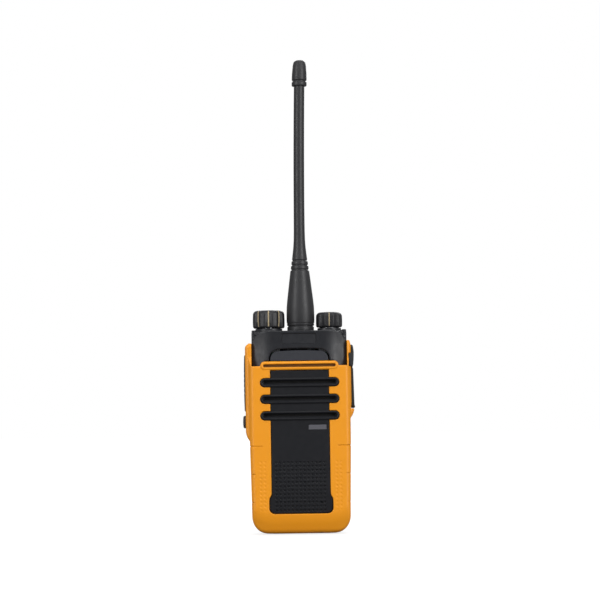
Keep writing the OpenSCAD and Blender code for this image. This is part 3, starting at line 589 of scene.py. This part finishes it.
def front_case(x, y, z):
    """The orange shell with its grips, slot ring and openings."""
    ax = np.abs(x)
    skin = case_skin(ax, y, z)
    # beside the head the shoulders lean back
    body = soft(skin, -14.65 + 0.6 * np.clip(z - 80.6, 0, 6.2) - y, 0.4)
    ear = np.where(x < 0, EAR - LEFT_DROP, EAR)
    body = all_of(body, y - JOINT, z - ear)
    shell = join(body, grips(x, y, z), 0.7)
    # shallow grip lines, wrapping round the front corners
    for groove, start, deep in zip(GROOVES, (22.0, 22.0, 18.2), (0.2, 0.2, 0.3)):
        line = np.maximum(np.abs(z - groove) - 0.15, start - ax)
        shell = cut(shell, np.maximum(line, -(skin + deep)), 0.12)
    # two small notches in the foot
    notch = np.minimum(np.abs(x + 7.7), np.abs(x - 9.3)) - 0.3
    shell = cut(shell, all_of(notch, z - 1.0, y + 9), 0.1)
    # room for the head
    shell = cut(shell, meet(ax - 23.15, SPLIT - z, 0.2), 0.3)
    # a window for the panel and one for each of its slot rims, with softened edges
    shell = cut(shell, np.maximum(panel_outline(x, z, -0.22), y - THROUGH), 0.35)
    rims = np.minimum.reduce([stadium(x, z - s, 38.2, 4.5) for s in SLOTS])
    shell = cut(shell, np.maximum(rims, y - THROUGH), 0.25)
    shell = slot_ring(shell, x, y, z)
    # two columns of dimples on each side, shallow caps of spheres
    dx = np.minimum(np.abs(ax - 17.3), np.abs(ax - 19.3))
    dz = repeat(z, 9.8, 1.93, 14)
    shell = cut(shell, root(dx, dz, y - FRONT + 1.25) - 1.42, 0.1)
    shell = cut(shell, case_hollow(ax, y, z))
    shell = side_openings(shell, x, y, z)
    # room for the battery's foot
    foot = all_of(ax - 14.1, -1.1 - y, z - 2.1)
    return cut(shell, foot)


def panel_outline(x, z, inset=0.0):
    """The front panel's outline: a wider foot with a soft step, and a slightly bowed top."""
    ax = np.abs(x)
    flare = 0.5 + 0.5 * np.tanh((18.2 - z) / 0.9)
    side = ax - (14.0 + 1.2 * flare) + inset
    shape = meet(side, 10.2 - z + inset, 2.8)
    return meet(shape, z + ARCH_BOW * ax * ax - 88.75 + inset, 3.6)


def front_panel(x, y, z):
    """The black panel with its rimmed slots and its grid of pits."""
    face = -14.0 + 0.22 * np.maximum(z - 83.4, 0) + 0.0022 * np.square(np.maximum(26 - z, 0))
    body = meet(meet(panel_outline(x, z), face - y, 0.3), y + 12.0, 0.2)
    rims = np.minimum.reduce([stadium(x, z - s, 37.8, 4.15) for s in SLOTS])
    rims = meet(meet(rims, FRONT - 0.45 - y, 0.42), y + 12.0)
    body = join(body, rims, 0.1)
    # each slot: a dish with an upper wall and a sloping lower lip, and the opening
    for s in SLOTS:
        dish = stadium(x, z - s, 35.9, 2.4)
        depth = y + 13.2 + 0.55 * np.clip(s - 0.2 - z, 0, 3)
        body = cut(body, meet(dish, depth, 0.15), 0.22)
        body = cut(body, np.maximum(stadium(x, z - s - 0.25, 34.8, 1.15), y + 11), 0.15)
    body = cut(body, stadium(x, z - RING, 38.3, 4.7))
    # moulded grid of small pits
    px, pz = repeat(x, -11.8, 1.937, 13), repeat(z, 11.6, 1.913, 13)
    pits = meet(rect(px, pz, (-0.5, -0.5), (0.5, 0.5), 0.3), y - face - 0.36, 0.1)
    body = cut(body, pits, 0.1)
    # the seat of the small plate, and the microphone's hole
    body = cut(body, np.maximum(rect(x, z, (4.0, 50.3), (12.8, 52.8), 0.4), y + 13.8), 0.05)
    return cut(body, root(x - 9.96, z - 15.4) - 0.38, 0.1)


def fascia(x, y, z):
    """The head's front, with flanks that turn back."""
    ax = np.abs(x)
    face = soft(-13.4 - y, 0.407 * (ax - 14.6) - 0.914 * (y + 13.4), 1.6)
    face = face - 0.006 * np.square(np.maximum(z - 89, 0))
    front = meet(meet(ax - 23.0, z - DECK, 7.0), face, 0.5)
    return all_of(front, y + 5.5, SPLIT + 0.1 - z)


def deck(x, y, z):
    """The head's box, with side horns, collars round the shafts and a lug for a strap."""
    ax = np.abs(x)
    box = meet(rect(x, y, (-23, -8.9), (23, 11.5), 2.6), z - DECK + 0.25, 0.8)
    box = np.maximum(box, SPLIT + 0.1 - z)
    box = cut(box, np.maximum(JOINT + 0.1 - y, z - 84.4), 0.25)
    body = join(fascia(x, y, z), box, 0.4)
    horn = meet(rect(ax, y, (20.9, -9.3), (23.0, 7.2), 0.8), z - DECK - 0.55, 0.35)
    body = join(body, np.maximum(horn, 90 - z), 0.5)
    for cx, r in ((CHANNEL, 6.6), (VOLUME, 5.8)):
        body = join(body, np.maximum(meet(root(x - cx, y - TURN_Y) - r, z - 99.9, 0.3), 92 - z), 0.9)
    nubs = slab(rect(np.abs(x - 0.3), y, (2.0, -12.6), (2.9, -11.4), 0.25), z, 97.6, 98.75, 0.2)
    body = join(body, nubs, 0.15)
    seat = meet(root(x - WHIP_X, y - TURN_Y) - 7.4, z - DECK - 0.02, 0.1)
    body = join(body, np.maximum(seat, 92 - z), 0.3)
    lug = slab(rect(y, z, (9, 88.6), (16.0, 94.8), 1.9), x, -20.4, -17.4, 0.5)
    return join(body, lug, 0.6)


def top_cover(x, y, z):
    """The black head round the knobs and the antenna."""
    ax = np.abs(x)
    hollow = np.maximum(rect(x, y, (-21.4, -30), (21.4, 9.9), 0.6), 0.26 * (ax - 13.4) - 0.9656 * (y + 11.8))
    hollow = all_of(hollow, THROUGH - y, z - 96.3)
    body = np.maximum(deck(x, y, z), -hollow)
    # the arch, room for the orange ring, and the nameplate's seat
    window = np.maximum(meet(ax - 14.5, z + ARCH_BOW * ax * ax - 89.6, 4.4), y + 9)
    body = cut(body, window, 0.7)
    body = cut(body, np.maximum(stadium(x, z - RING, 38.5, 4.9), y + 12.4), 0.2)
    body = cut(body, np.maximum(rect(x, z, (-8.3, 91.9), (8.3, 96.9), 0.7), y + 12.85), 0.08)
    # openings for the knobs' skirts, the shafts, the antenna, the lamp and the strap
    for cx, r in ((CHANNEL, 5.6), (VOLUME, 5.1)):
        shaft = root(x - cx, y - TURN_Y)
        body = cut(cut(body, np.maximum(shaft - r, DECK - z)), shaft - 3.6)
    body = cut(body, root(x - WHIP_X, y - TURN_Y) - 3.6)
    body = cut(body, np.maximum(root(x - 7.5, y + 6.6) - 1.05, 94 - z), 0.12)
    hole = np.maximum(root(y - 13.6, z - 91.7) - 1.5, span(x, -22, -16))
    body = cut(body, hole, 0.25)
    # two screws and two catches at the back
    for s in (-5, 5):
        body = cut(body, np.maximum(root(x - s, z - 90) - 1.1, 8 - y))
        body = cut(body, np.maximum(root(x - s, z - 90) - 1.95, 10.8 - y), 0.15)
    for s in (-13, 13):
        body = cut(body, all_of(span(x, s - 2.8, s + 2.8), span(y, 8, 12.5), z - 85.8))
    return body


# ---------------------------------------------------------------- knobs

def knob_field(cx, r, top, count, groove_r, groove_in, dish):
    """A fluted knob with a soft top edge, hollow under its skirt."""
    mid = (KNOB_FOOT + top) / 2

    def field(x, y, z):
        u, v = x - cx, y - TURN_Y
        rad = root(u, v)
        wall = rad - r + 0.007 * np.square(z - mid + 1.4)
        d = meet(meet(wall, z - top, 2.1), KNOB_FOOT - z, 0.9)
        a = np.arctan2(v, u) + math.pi / 2
        a = a - 2 * math.pi / count * np.round(a * count / (2 * math.pi))
        t, s = rad * np.sin(a), rad * np.cos(a)
        deep = groove_in + 0.35 * np.clip((mid - 1.5 - z) / 2.2, 0, 1)
        d = cut(d, root(t, s - (r + groove_r - deep)) - groove_r, 0.7)
        d = cut(d, root(rad, z - top - dish[0]) - dish[1], 0.4)
        return d

    def solid(x, y, z):
        u, v = x - cx, y - TURN_Y
        d = field(x, y, z)
        d = cut(d, np.maximum(root(u, v) - (r - 1.9), z - KNOB_FOOT - 1.2))
        bore = np.maximum(root(u, v) - 3.05, -v - 2.05)
        return cut(d, np.maximum(bore, z - top + 1.7))
    return field, solid


def knob_line(field, cx, inner, angles, lo, hi, half):
    """Inlaid lines that follow the knob's surface."""
    def f(x, y, z):
        u, v = x - cx, y - TURN_Y
        bars = []
        for a in angles:
            c, s = math.cos(a), math.sin(a)
            bars.append(np.maximum(np.abs(-s * u + c * v) - half, inner - c * u - s * v))
        bars = np.maximum(np.minimum.reduce(bars), span(z, lo, hi))
        return meet(bars, np.abs(field(x, y, z) + 0.06) - 0.13, 0.03)
    return f


def build_knobs():
    """Both knobs, each with its inlaid lines."""
    front = -math.pi / 2
    field, solid = knob_field(CHANNEL, 8.05, CHANNEL_TOP, 8, 1.7, 0.9, (22.0, 22.5))
    carve("channel_knob_skin", solid, (-22.9, -7.7, 100), (-6.5, 8.7, 109.2), 0.2, "channel_control", KNOB,
          stands=["channel_knob"], slot="black_plastic")
    lines = knob_line(field, CHANNEL, 6.3, [front + math.pi / 4 * i for i in range(8)], 100.8, 108.5, 0.31)
    carve("channel_knob_inlay", lines, (-22.9, -7.7, 100.6), (-6.5, 8.7, 109.2), 0.11, "channel_control",
          CREAM, stands=["channel_knob_lines"], slot="cream_paint")
    field, solid = knob_field(VOLUME, 6.45, VOLUME_TOP, 10, 2.4, 0.4, (22.0, 22.4))
    carve("volume_knob_skin", solid, (8.3, -6.2, 100), (21.5, 7.2, 108.4), 0.2, "volume_control", KNOB,
          stands=["volume_knob"], slot="black_plastic")
    line = knob_line(field, VOLUME, 4.7, [front], 100.8, 107.4, 0.21)
    carve("volume_knob_inlay", line, (14.0, -6.4, 100.6), (15.8, -4.0, 108.4), 0.08, "volume_control",
          CREAM, stands=["volume_knob_line"], slot="cream_paint")


# ---------------------------------------------------------------- antenna

TIP, TIP_SET = 232.8, 1.35


def lean(z):
    """The flexible whip has taken a slight set towards +X, above its rings."""
    return TIP_SET * np.square(np.clip((z - 134) / (TIP - 134), 0, None))


def stretch(a, b, most=6.0):
    """Splits a long profile step, so that it can bend."""
    n = max(1, math.ceil(abs(b[1] - a[1]) / most))
    return [(a[0] + (b[0] - a[0]) * i / n, a[1] + (b[1] - a[1]) * i / n) for i in range(n)]


def build_antenna():
    """The rubber whip, its cap and the coil inside."""
    # the rubber sheath: foot with a groove, cone, three rings, whip
    outer = [(3.3, 98.65), (6.3, 98.65), (6.55, 98.95), (6.55, 100.55), (6.1, 100.85), (6.1, 101.1),
             (6.6, 101.4), (6.66, 102.05), (6.48, 102.2), (6.48, 102.35), (6.72, 102.5), (6.85, 104.0),
             (6.82, 107.0), (6.7, 110.5), (6.4, 113.6), (6.05, 116.6), (5.7, 119.4),
             (5.35, 122.4), (5.0, 125.2), (4.72, 127.4), (4.62, 128.2), (4.1, 128.55), (4.1, 128.9),
             (4.37, 129.25), (4.3, 130.5), (3.8, 130.85), (3.8, 131.15), (4.1, 131.5), (3.98, 132.8),
             (3.5, 133.15), (3.5, 133.45), (3.75, 133.8), (3.38, 136.8), (3.02, 140.0), (2.8, 143.5),
             (2.7, 148.0), (2.64, 160.0), (2.6, 224.1), (2.4, 224.4)]
    radii = [0, 0.25, 0.25, 0.2, 0.1, 0.1, 0.2, 0.1, 0.07, 0.07, 0.1] + [0.0] * 9 + [0.18] * 11
    prof = fillets(outer, radii + [0] * (len(outer) - len(radii)), 4)
    inner = [(2.4, 224.4)] + [(1.1, 224.4 - 9.84 * i) for i in range(11)]
    inner += [(3.4, 126.0), (3.4, 105.75), (5.25, 105.75), (5.25, 98.65)]
    prof = [q for a, b in zip(prof, prof[1:]) for q in stretch(a, b)]
    lathe("antenna_sheath", prof + inner, (WHIP_X, TURN_Y), "antenna_rod", WHIP, sway=lean,
          stands=["antenna_whip"], slot="antenna_rubber")
    tip = [(2.66, 224.9), (2.66, 219.9), (3.55, 219.9), (3.7, 220.2), (3.7, 221.7), (3.25, 222.1),
           (3.25, 222.45), (3.7, 222.9), (3.6, 226.0), (3.3, 229.9), (2.95, 231.8), (1.95, 232.65),
           (0.02, TIP), (0.02, 224.9)]
    lathe("antenna_cap", fillets(tip, [0, 0, 0.2, 0.2, 0.2, 0.15, 0.15, 0.25, 0, 0, 1.2, 1.2, 0, 0]),
          (WHIP_X, TURN_Y), "antenna_rod", WHIP, segments=72, sway=lean, stands=["antenna_tip"],
          slot="antenna_rubber")
    t, a = helix(9, 9 * 40 + 1)
    coil = np.stack([WHIP_X + 2.5 * np.cos(a), TURN_Y + 2.5 * np.sin(a), 108 + 17 * t], 1)
    wire("antenna_coil", coil, 0.4, "antenna_rod", COPPER, stands=["loading_coil"], slot="copper")


# ---------------------------------------------------------------- keys and socket cover

def key_flange(y, z, x, half, ends):
    """The flat flange behind a key, against the inside of the case's wall."""
    return slab(key_plan(y, z, half, ends), x, -25.35, -24.7, 0.1)


def talk_key(x, y, z):
    """A long, slightly bulged key with five ribs cut across it."""
    bulge = -27.1 + 0.001225 * np.square(z - 73.2) + 0.02 * np.square(y - KEY_Y)
    d = meet(key_plan(y, z, 4.1, TALK, r=1.9), bulge - x, 0.6)
    ribs = root(repeat(z, 68.5, 2.4, 5), x + 27.5) - 0.6
    d = cut(d, np.maximum(ribs, np.abs(y - KEY_Y) - 2.6), 0.2)
    return np.minimum(np.maximum(d, x + 25.3), key_flange(y, z, x, 4.8, (58.7, 87.8)))


def option_key(x, y, z):
    """A small key with a round dish in its face."""
    middle = sum(OPTION) / 2
    bulge = -27.75 + 0.025 * (np.square(y - KEY_Y) + np.square(z - middle))
    d = meet(key_plan(y, z, 2.95, OPTION, r=2.2), bulge - x, 0.7)
    d = cut(d, root(y - KEY_Y, z - middle, x + 29.2) - 1.7, 0.2)
    return np.minimum(np.maximum(d, x + 25.3), key_flange(y, z, x, 3.6, (50.6, 58.2)))


def flap(x, y, z):
    """The rubber socket cover, with two plugs behind it."""
    outer = 26.1 + 0.022 * (79.9 - z)
    d = key_plan(y, z, 5.0, (60.65, 82.5), r=1.3)
    d = meet(meet(d, x - outer, 0.45), 25.06 - x, 0.1)
    # a round groove over each socket, and a line between them
    for socket, r in ((75.5, 3.2), (64.6, 2.7)):
        groove = np.abs(root(y - KEY_Y, z - socket) - r) - 0.22
        d = cut(d, groove + np.maximum(outer - 0.12 - x, 0) * 3, 0.1)
    line = np.maximum(np.abs(z - 69.8) - 0.35, np.abs(y - KEY_Y) - 3.6)
    d = cut(d, np.maximum(line, outer - 0.17 - x), 0.15)
    d = np.maximum(d, z - 79.75)
    # the finger rib along its foot
    rib = slab(rect(x, z, (25.2, 60.65), (26.75, 61.9), 0.5), y, KEY_Y - 3.4, KEY_Y + 3.4, 0.4)
    d = join(d, rib, 0.3)
    plugs = np.minimum(root(y - KEY_Y, z - 75.5) - 2.3, root(y - KEY_Y, z - 64.3) - 1.8)
    return np.minimum(d, meet(plugs, span(x, 24.5, 25.3), 0.25))


def anchor(x, y, z):
    """The rubber block that holds the socket cover, screwed to the case above the hinge."""
    outer = 26.5 - 0.03 * np.square(np.maximum(z - 87.0, 0)) - 0.012 * np.square(np.minimum(z - 87, 0))
    d = meet(key_plan(y, z, 5.0, (ANCHOR_FOOT, 91.3), r=1.6), x - outer, 0.5)
    d = np.maximum(d, 25.02 - x)
    tab = slab(rect(x, y, (23.95, -12.35), (26.0, -9.65), 0.45), z, 80.85, 87.1, 0.3)
    side = slab(rect(x, y, (25.02, -10.9), (25.9, -8.0), 0.2), z, 80.85, 87.1, 0.2)
    d = np.minimum(join(d, tab, 0.15), side)
    return cut(d, np.maximum(root(y - KEY_Y, z - 84.6) - 3.1, 25.55 - x), 0.12)


def web(x, y, z):
    """The thin living hinge between the anchor and the socket cover."""
    d = slab(span(x, 25.15, 25.85), y, KEY_Y - 4.7, KEY_Y + 4.7, 0.25)
    return np.maximum(d, span(z, 79.4, 81.2))


# ---------------------------------------------------------------- battery and clip

def pack_body(x, y, z, inset=0.0):
    """The battery's rounded block, set in by inset."""
    side = np.abs(x) - half_case(z) + 0.2 + inset
    s = meet(meet(side, -z + inset, 7.8), z - 83.7 + inset, 1.8)
    s = meet(s, y - BACK + inset, 2.4)
    return meet(s, 0.7071 * (np.abs(x) - half_case(z) + 0.2 + y - BACK) + 1.9 + inset, 1.5)


def tilt_cut(y, z):
    """The slanted foot that lets the battery tilt out on its toes."""
    return plane(y, z, (3.97, 0.0), (2.7, 2.2))


def battery_case(x, y, z):
    """The battery's shell, hollow, with room for its latch and contacts."""
    ax = np.abs(x)
    outer = pack_body(x, y, z)
    body = np.maximum(outer, 4.0 - y)
    line = np.minimum.reduce([np.abs(z - g) for g in GROOVES]) - 0.22
    body = cut(body, all_of(line, 19.5 - ax, -(outer + 0.28)), 0.12)
    # a plain recessed field on the back
    field = meet(rect(x, z, (-17.5, 16.8), (17.5, 60.2), 2.2), 14.22 - y, 0.05)
    body = cut(body, field, 0.12)
    # hollow, with walls round the latch, its springs and the clip's screws
    inner = np.maximum(pack_body(x, y, z, 1.3), y - 13.2)
    rails = np.minimum.reduce([
        all_of(ax - 20.4, span(z, 77.6, 83), 8.3 - y),
        all_of(span(ax, 6.6, 11.4), span(z, 72.6, 78), 9.2 - y),
        np.maximum(root(ax - 6, z - 64.5) - 2, 12.4 - y)])
    body = np.minimum(cut(body, inner), np.maximum(rails, outer + 0.6))
    body = cut(body, all_of(ax - 19.2, 78.9 - z, 9.4 - y), 0.3)
    body = cut(body, np.maximum(root(ax - 9, y - 11.6) - 1.7, span(z, 73.6, 80)))
    body = cut(body, np.maximum(root(ax - 6, z - 64.5) - 1.0, 12 - y))
    # windows for the charging contacts, with a locating dimple between them
    pad = np.maximum(rect(ax, z, (4.2, 9.8), (7.8, 14.2), 0.5), 14.2 - y)
    body = cut(body, pad, 0.1)
    dimple = np.maximum(rect(x, z, (-1.2, 10.6), (1.2, 13.4), 1.1), 13.9 - y)
    body = cut(body, dimple, 0.15)
    return np.maximum(body, tilt_cut(y, z))


def latch(x, y, z):
    """The bar that slides down to free the battery: ribbed thumb pads and two teeth."""
    ax = np.abs(x)
    bar = meet(slab(rect(x, z, (-19.0, 81.0), (19.0, 83.7), 0.5), y, 9.6, 14.35, 0.25), z - 83.7, 0.2)
    pads = slab(rect(ax, z, (11.2, 81.1), (18.8, 83.6), 0.4), y, 12, 14.75, 0.4)
    ribs = np.maximum(np.abs(repeat(z, 81.5, 0.85, 3)) - 0.2, span(ax, 11.6, 18.4))
    ribs = slab(ribs, y, 13, 15.1, 0.15)
    teeth = slab(rect(ax, z, (10.5, 83), (15.5, 84.3), 0.1), y, 10, 12, 0.15)
    return np.minimum.reduce([join(bar, pads, 0.2), ribs, teeth])


def clip_base(x, y, z):
    """The plate screwed to the battery, with two ears for the pin."""
    ax = np.abs(x)
    plate = meet(rect(x, z, (-8.7, 61.5), (8.7, 76.5), 2.0), y - 16.0, 0.4)
    plate = np.maximum(plate, 14.52 - y)
    pin = root(y - PIN_Y, z - PIN_Z)
    ear = np.minimum(pin - 1.9, rect(y, z, (15, PIN_Z - 1.9), (PIN_Y, PIN_Z + 1.9)))
    ear = slab(ear, ax, 6.8, 8.6, 0.2)
    d = join(plate, ear, 0.5)
    d = cut(d, pin - 1.06)
    return cut(d, root(ax - 6, z - 64.5) - 1.06)


def belt_clip(x, y, z):
    """A bowed plate with a hooked foot and two lugs on the pin."""
    ax = np.abs(x)
    back = y - (21.6 + 0.35 * (1 - np.square((z - 49) / 30)))
    plate = meet(meet(rect(x, z, (-10.5, 19.0), (10.5, 79.0), 4.5), back, 0.7), 20.0 - y, 0.3)
    plate = cut(plate, meet(rect(x, z, (-6.2, 25.5), (6.2, 66), 2.4), 21.45 - y, 0.05), 0.25)
    for k in (72.9, 74.6, 76.3):
        plate = join(plate, slab(rect(x, z, (-6, k - 0.3), (6, k + 0.3), 0.28), y, 21, 21.95, 0.2), 0.1)
    inside = np.maximum(-plane(y, z, (15.4, 21.2), (16.8, 19.6)), -plane(y, z, (16.8, 19.6), (21, 19.0)))
    outside = np.maximum(plane(y, z, (15.4, 22.2), (17.6, 22.4)), plane(y, z, (17.6, 22.4), (20.0, 27.0)))
    hook = all_of(inside, outside, 15.4 - y, y - 20.8)
    d = join(plate, slab(hook, x, -6.5, 6.5, 0.4), 0.8)
    pin = root(y - PIN_Y, z - PIN_Z)
    lug = np.minimum(pin - 1.85, rect(y, z, (PIN_Y, PIN_Z - 1.85), (20.5, PIN_Z + 1.85)))
    d = join(d, slab(lug, ax, 8.8, 10.4, 0.15), 0.35)
    return cut(d, np.maximum(pin - 1.06, y - 19.9))


def build_springs():
    """The clip's spring and the two under the latch."""
    t, a = helix(6, 6 * 28 + 1)
    for name, s in (("left", -1), ("right", 1)):
        path = np.stack([9 * s + 1.25 * np.cos(a), 11.6 + 1.25 * np.sin(a), 74 + 6.6 * t], 1)
        ob = wire(f"latch_spring_{name}", path, 0.22, "battery_pack", STEEL, sides=8,
                  stands=["latch_springs"] if s < 0 else (), slot="steel")
        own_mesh(ob)
    t, a = helix(6.5, 7 * 28)
    coil = np.stack([-5 + 10 * t, PIN_Y - 1.5 * np.cos(a), PIN_Z - 1.5 * np.sin(a)], 1)
    start = np.array([[-5.0, 16.4, 75.0], [-5.0, 16.4, 73.0], [-5.0, 16.4, 71.6]])
    end = np.array([[5.0, 19.4, 71.6], [5.0, 19.4, 72.4]])
    wire("clip_torsion_spring", np.concatenate([start, coil, end]), 0.25, "battery_pack", STEEL, sides=8,
         stands=["clip_spring"], slot="steel")


# ---------------------------------------------------------------- build everything

carve("front_shell", front_case, (-27.5, -15.2, -0.3), (26.7, 2.8, 93.8), 0.36, "radio_body", ORANGE,
      stands=["front_case"], slot="orange_plastic")
carve("speaker_panel", front_panel, (-19.5, -15.2, 9.2), (19.5, -11.8, 89.6), 0.25, "radio_body", PANEL,
      stands=["front_panel"], slot="black_plastic")
carve("head_cover", top_cover, (-23.4, -13.8, 81.6), (23.4, 16.4, 99.8), 0.25, "radio_body", BLACK,
      stands=["top_cover"], slot="black_plastic")
build_knobs()
build_antenna()
carve("talk_button", talk_key, (-27.8, -9.6, 58.4), (-24.4, 0.5, 88.1), 0.18, "talk_key", CHARCOAL,
      stands=["ptt_button"], slot="charcoal_plastic")
carve("option_button", option_key, (-28.1, -8.5, 50.3), (-24.4, -0.7, 58.5), 0.16, "option_key", CHARCOAL,
      stands=["side_key"], slot="charcoal_plastic")
carve("socket_flap", flap, (24.2, -9.9, 60.4), (27.0, 0.7, 80.2), 0.17, "socket_cover", RUBBER,
      stands=["accessory_flap"], slot="soft_rubber")
carve("socket_flap_anchor", anchor, (23.7, -12.6, 80.5), (26.8, 0.7, 91.6), 0.17, "radio_body", RUBBER,
      stands=["flap_anchor"], slot="soft_rubber")
hinge = carve("socket_flap_hinge", web, (25.0, -9.5, 79.2), (26.0, 0.3, 81.4), 0.16, "radio_body", RUBBER,
              slot="soft_rubber")
hinge.parent = None
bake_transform(hinge)
carve("battery_shell", battery_case, (-24.6, 2.4, -0.3), (24.6, 14.9, 84.0), 0.36, "battery_pack", BLACK,
      stands=["battery_case"], slot="black_plastic")
carve("latch", latch, (-19.3, 9.3, 80.8), (19.3, 15.3, 84.5), 0.18, "latch_bar", CHARCOAL,
      stands=["battery_latch"], slot="charcoal_plastic")
carve("clip_bracket", clip_base, (-9, 14.2, 61.2), (9, 20.0, 76.8), 0.2, "battery_pack", BLACK,
      stands=["clip_base"], slot="black_plastic")
carve("clip_lever", belt_clip, (-10.8, 15.0, 18.7), (10.8, 22.3, 79.3), 0.28, "clip_arm", CHARCOAL,
      stands=["belt_clip"], slot="black_plastic")
build_springs()

LOOKS = {
    PLATE: "model_plate", NAME: "nameplate", CLOTH: "speaker_cloth microphone", CONE: "speaker_cone",
    STEEL: "speaker_frame speaker_magnet channel_switch volume_switch channel_shaft volume_shaft "
           "panel_nuts chassis_screws anchor_screw antenna_core clip_screws clip_pin",
    CAN: "shield_cans", ALLOY: "chassis", SEAL: "main_seal",
    RUBBER: "microphone_boot side_boot antenna_seal", LENS: "led_lens",
    BOARD: "knob_board main_board side_key_board battery_board", FILM: "flex_cable",
    GOLD: "antenna_socket antenna_ferrule terminal_pins battery_contacts",
    CHIP: "board_chips battery_terminals mic_jack ear_jack", BLACK: "jack_panel battery_plate",
    CELL: "battery_cells",
}
BEVEL = {"chassis": 0.2, "battery_plate": 0.3, "shield_cans": 0.25, "speaker_magnet": 0.2, "panel_nuts": 0.15,
         "model_plate": 0.05, "nameplate": 0.06, "jack_panel": 0.15, "battery_cells": 0.3,
         "channel_switch": 0.15, "volume_switch": 0.15, "board_chips": 0.12, "battery_terminals": 0.15,
         "anchor_screw": 0.12, "clip_screws": 0.15, "terminal_pins": 0.12, "chassis_screws": 0.1}
for mat, names in LOOKS.items():
    for n in names.split():
        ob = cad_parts[n]
        ob.data.materials.clear()
        ob.data.materials.append(mat)
        if n in BEVEL:
            b = ob.modifiers.new("soft_edges", "BEVEL")
            b.width = BEVEL[n] * 0.001
            b.segments = 2
            b.limit_method = "ANGLE"
            b.angle_limit = math.radians(40)
            b.harden_normals = False

# ---------------------------------------------------------------- studio and camera


def white_floor():
    """White paper with a faint contact shadow; away from the radio it fades into the backdrop."""
    m = Nodes("floor_paper")
    m.bsdf.inputs["Base Color"].default_value = (0.22, 0.22, 0.22, 1)
    m.bsdf.inputs["Roughness"].default_value = 0.9
    length = m.add("ShaderNodeVectorMath", _operation="LENGTH")
    m.link(m.co, length.inputs[0])
    glow = m.add("ShaderNodeEmission")
    m.link(m.ramp(length.outputs["Value"], 0.12, 0.4, 0.8, 1.0), glow.inputs["Strength"])
    matt = m.add("ShaderNodeBsdfDiffuse")
    m.link(m.mix(m.noise(3, 2), (0.25, 0.25, 0.25, 1), (0.26, 0.26, 0.26, 1)), matt.inputs["Color"])
    seen_floor = m.add("ShaderNodeAddShader")
    m.link(glow.outputs[0], seen_floor.inputs[0])
    m.link(matt.outputs[0], seen_floor.inputs[1])
    # the camera sees the glowing paper, while the radio is lit by a plain grey one
    which = m.add("ShaderNodeMixShader")
    m.link(m.add("ShaderNodeLightPath").outputs["Is Camera Ray"], which.inputs[0])
    m.link(m.bsdf.outputs[0], which.inputs[1])
    m.link(seen_floor.outputs[0], which.inputs[2])
    m.link(which.outputs[0], m.tree.nodes["Material Output"].inputs["Surface"])
    bpy.ops.mesh.primitive_plane_add(size=40, location=(0, 0, -0.0002))
    floor = bpy.context.object
    floor.name = "floor"
    floor.data.materials.append(m.mat)


def backdrop():
    """White to the camera; what lights the radio from it is dim, brighter from above."""
    world = bpy.data.worlds.new("studio")
    bpy.context.scene.world = world
    world.use_nodes = True
    tree = world.node_tree
    back = tree.nodes["Background"]
    back.inputs["Color"].default_value = (1, 1, 1, 1)
    direction = tree.nodes.new("ShaderNodeSeparateXYZ")
    tree.links.new(tree.nodes.new("ShaderNodeTexCoord").outputs["Generated"], direction.inputs[0])
    sky = tree.nodes.new("ShaderNodeMapRange")
    tree.links.new(direction.outputs["Z"], sky.inputs["Value"])
    for key, val in (("From Min", -0.1), ("From Max", 0.8), ("To Min", 0.12), ("To Max", 0.72)):
        sky.inputs[key].default_value = val
    level = tree.nodes.new("ShaderNodeMix")
    tree.links.new(tree.nodes.new("ShaderNodeLightPath").outputs["Is Camera Ray"], level.inputs[0])
    tree.links.new(sky.outputs["Result"], level.inputs[2])
    level.inputs[3].default_value = 1.0
    tree.links.new(level.outputs[0], back.inputs["Strength"])


def lamp(name, place, aim_z, size, watts):
    """A rectangular soft box aimed at a height on the radio's axis, all in metres."""
    data = bpy.data.lights.new(name, "AREA")
    data.shape, data.size, data.size_y = "RECTANGLE", size[0], size[1]
    data.energy = watts
    ob = bpy.data.objects.new(name, data)
    bpy.context.scene.collection.objects.link(ob)
    ob.location = place
    ob.rotation_euler = (Vector((0, 0, aim_z)) - Vector(place)).to_track_quat("-Z", "Y").to_euler()


def camera(place, aim_z, view, roll):
    """Looks along Y from place, tilted to a height on the radio's axis and rolled; angles in degrees."""
    data = bpy.data.cameras.new("camera")
    data.sensor_width = 36
    data.lens = 18 / math.tan(math.radians(view / 2))
    data.clip_start = 0.01
    cam = bpy.data.objects.new("camera", data)
    bpy.context.scene.collection.objects.link(cam)
    tilt = math.atan2(aim_z - place[2], -place[1])
    cam.matrix_world = (Matrix.Translation(place) @ Matrix.Rotation(math.pi / 2 + tilt, 4, "X")
                        @ Matrix.Rotation(-math.radians(roll), 4, "Z"))
    bpy.context.scene.camera = cam


white_floor()
backdrop()
lamp("key_left", (-0.84, -0.76, 0.40), 0.09, (0.40, 0.7), 5.8)
lamp("key_right", (0.81, -0.80, 0.40), 0.09, (0.40, 0.7), 8.0)
lamp("front_top", (0, -0.95, 0.80), 0.09, (1.0, 0.25), 2.0)
lamp("top", (0, -0.2, 1.0), 0.08, (0.8, 0.5), 2.0)
lamp("back", (0.25, 1.1, 0.75), 0.09, (0.9, 0.5), 7)
camera((0.0008, -0.98, 0.050), 0.1139, 17.06, 0.85)
bpy.context.scene.view_settings.view_transform = "Standard"
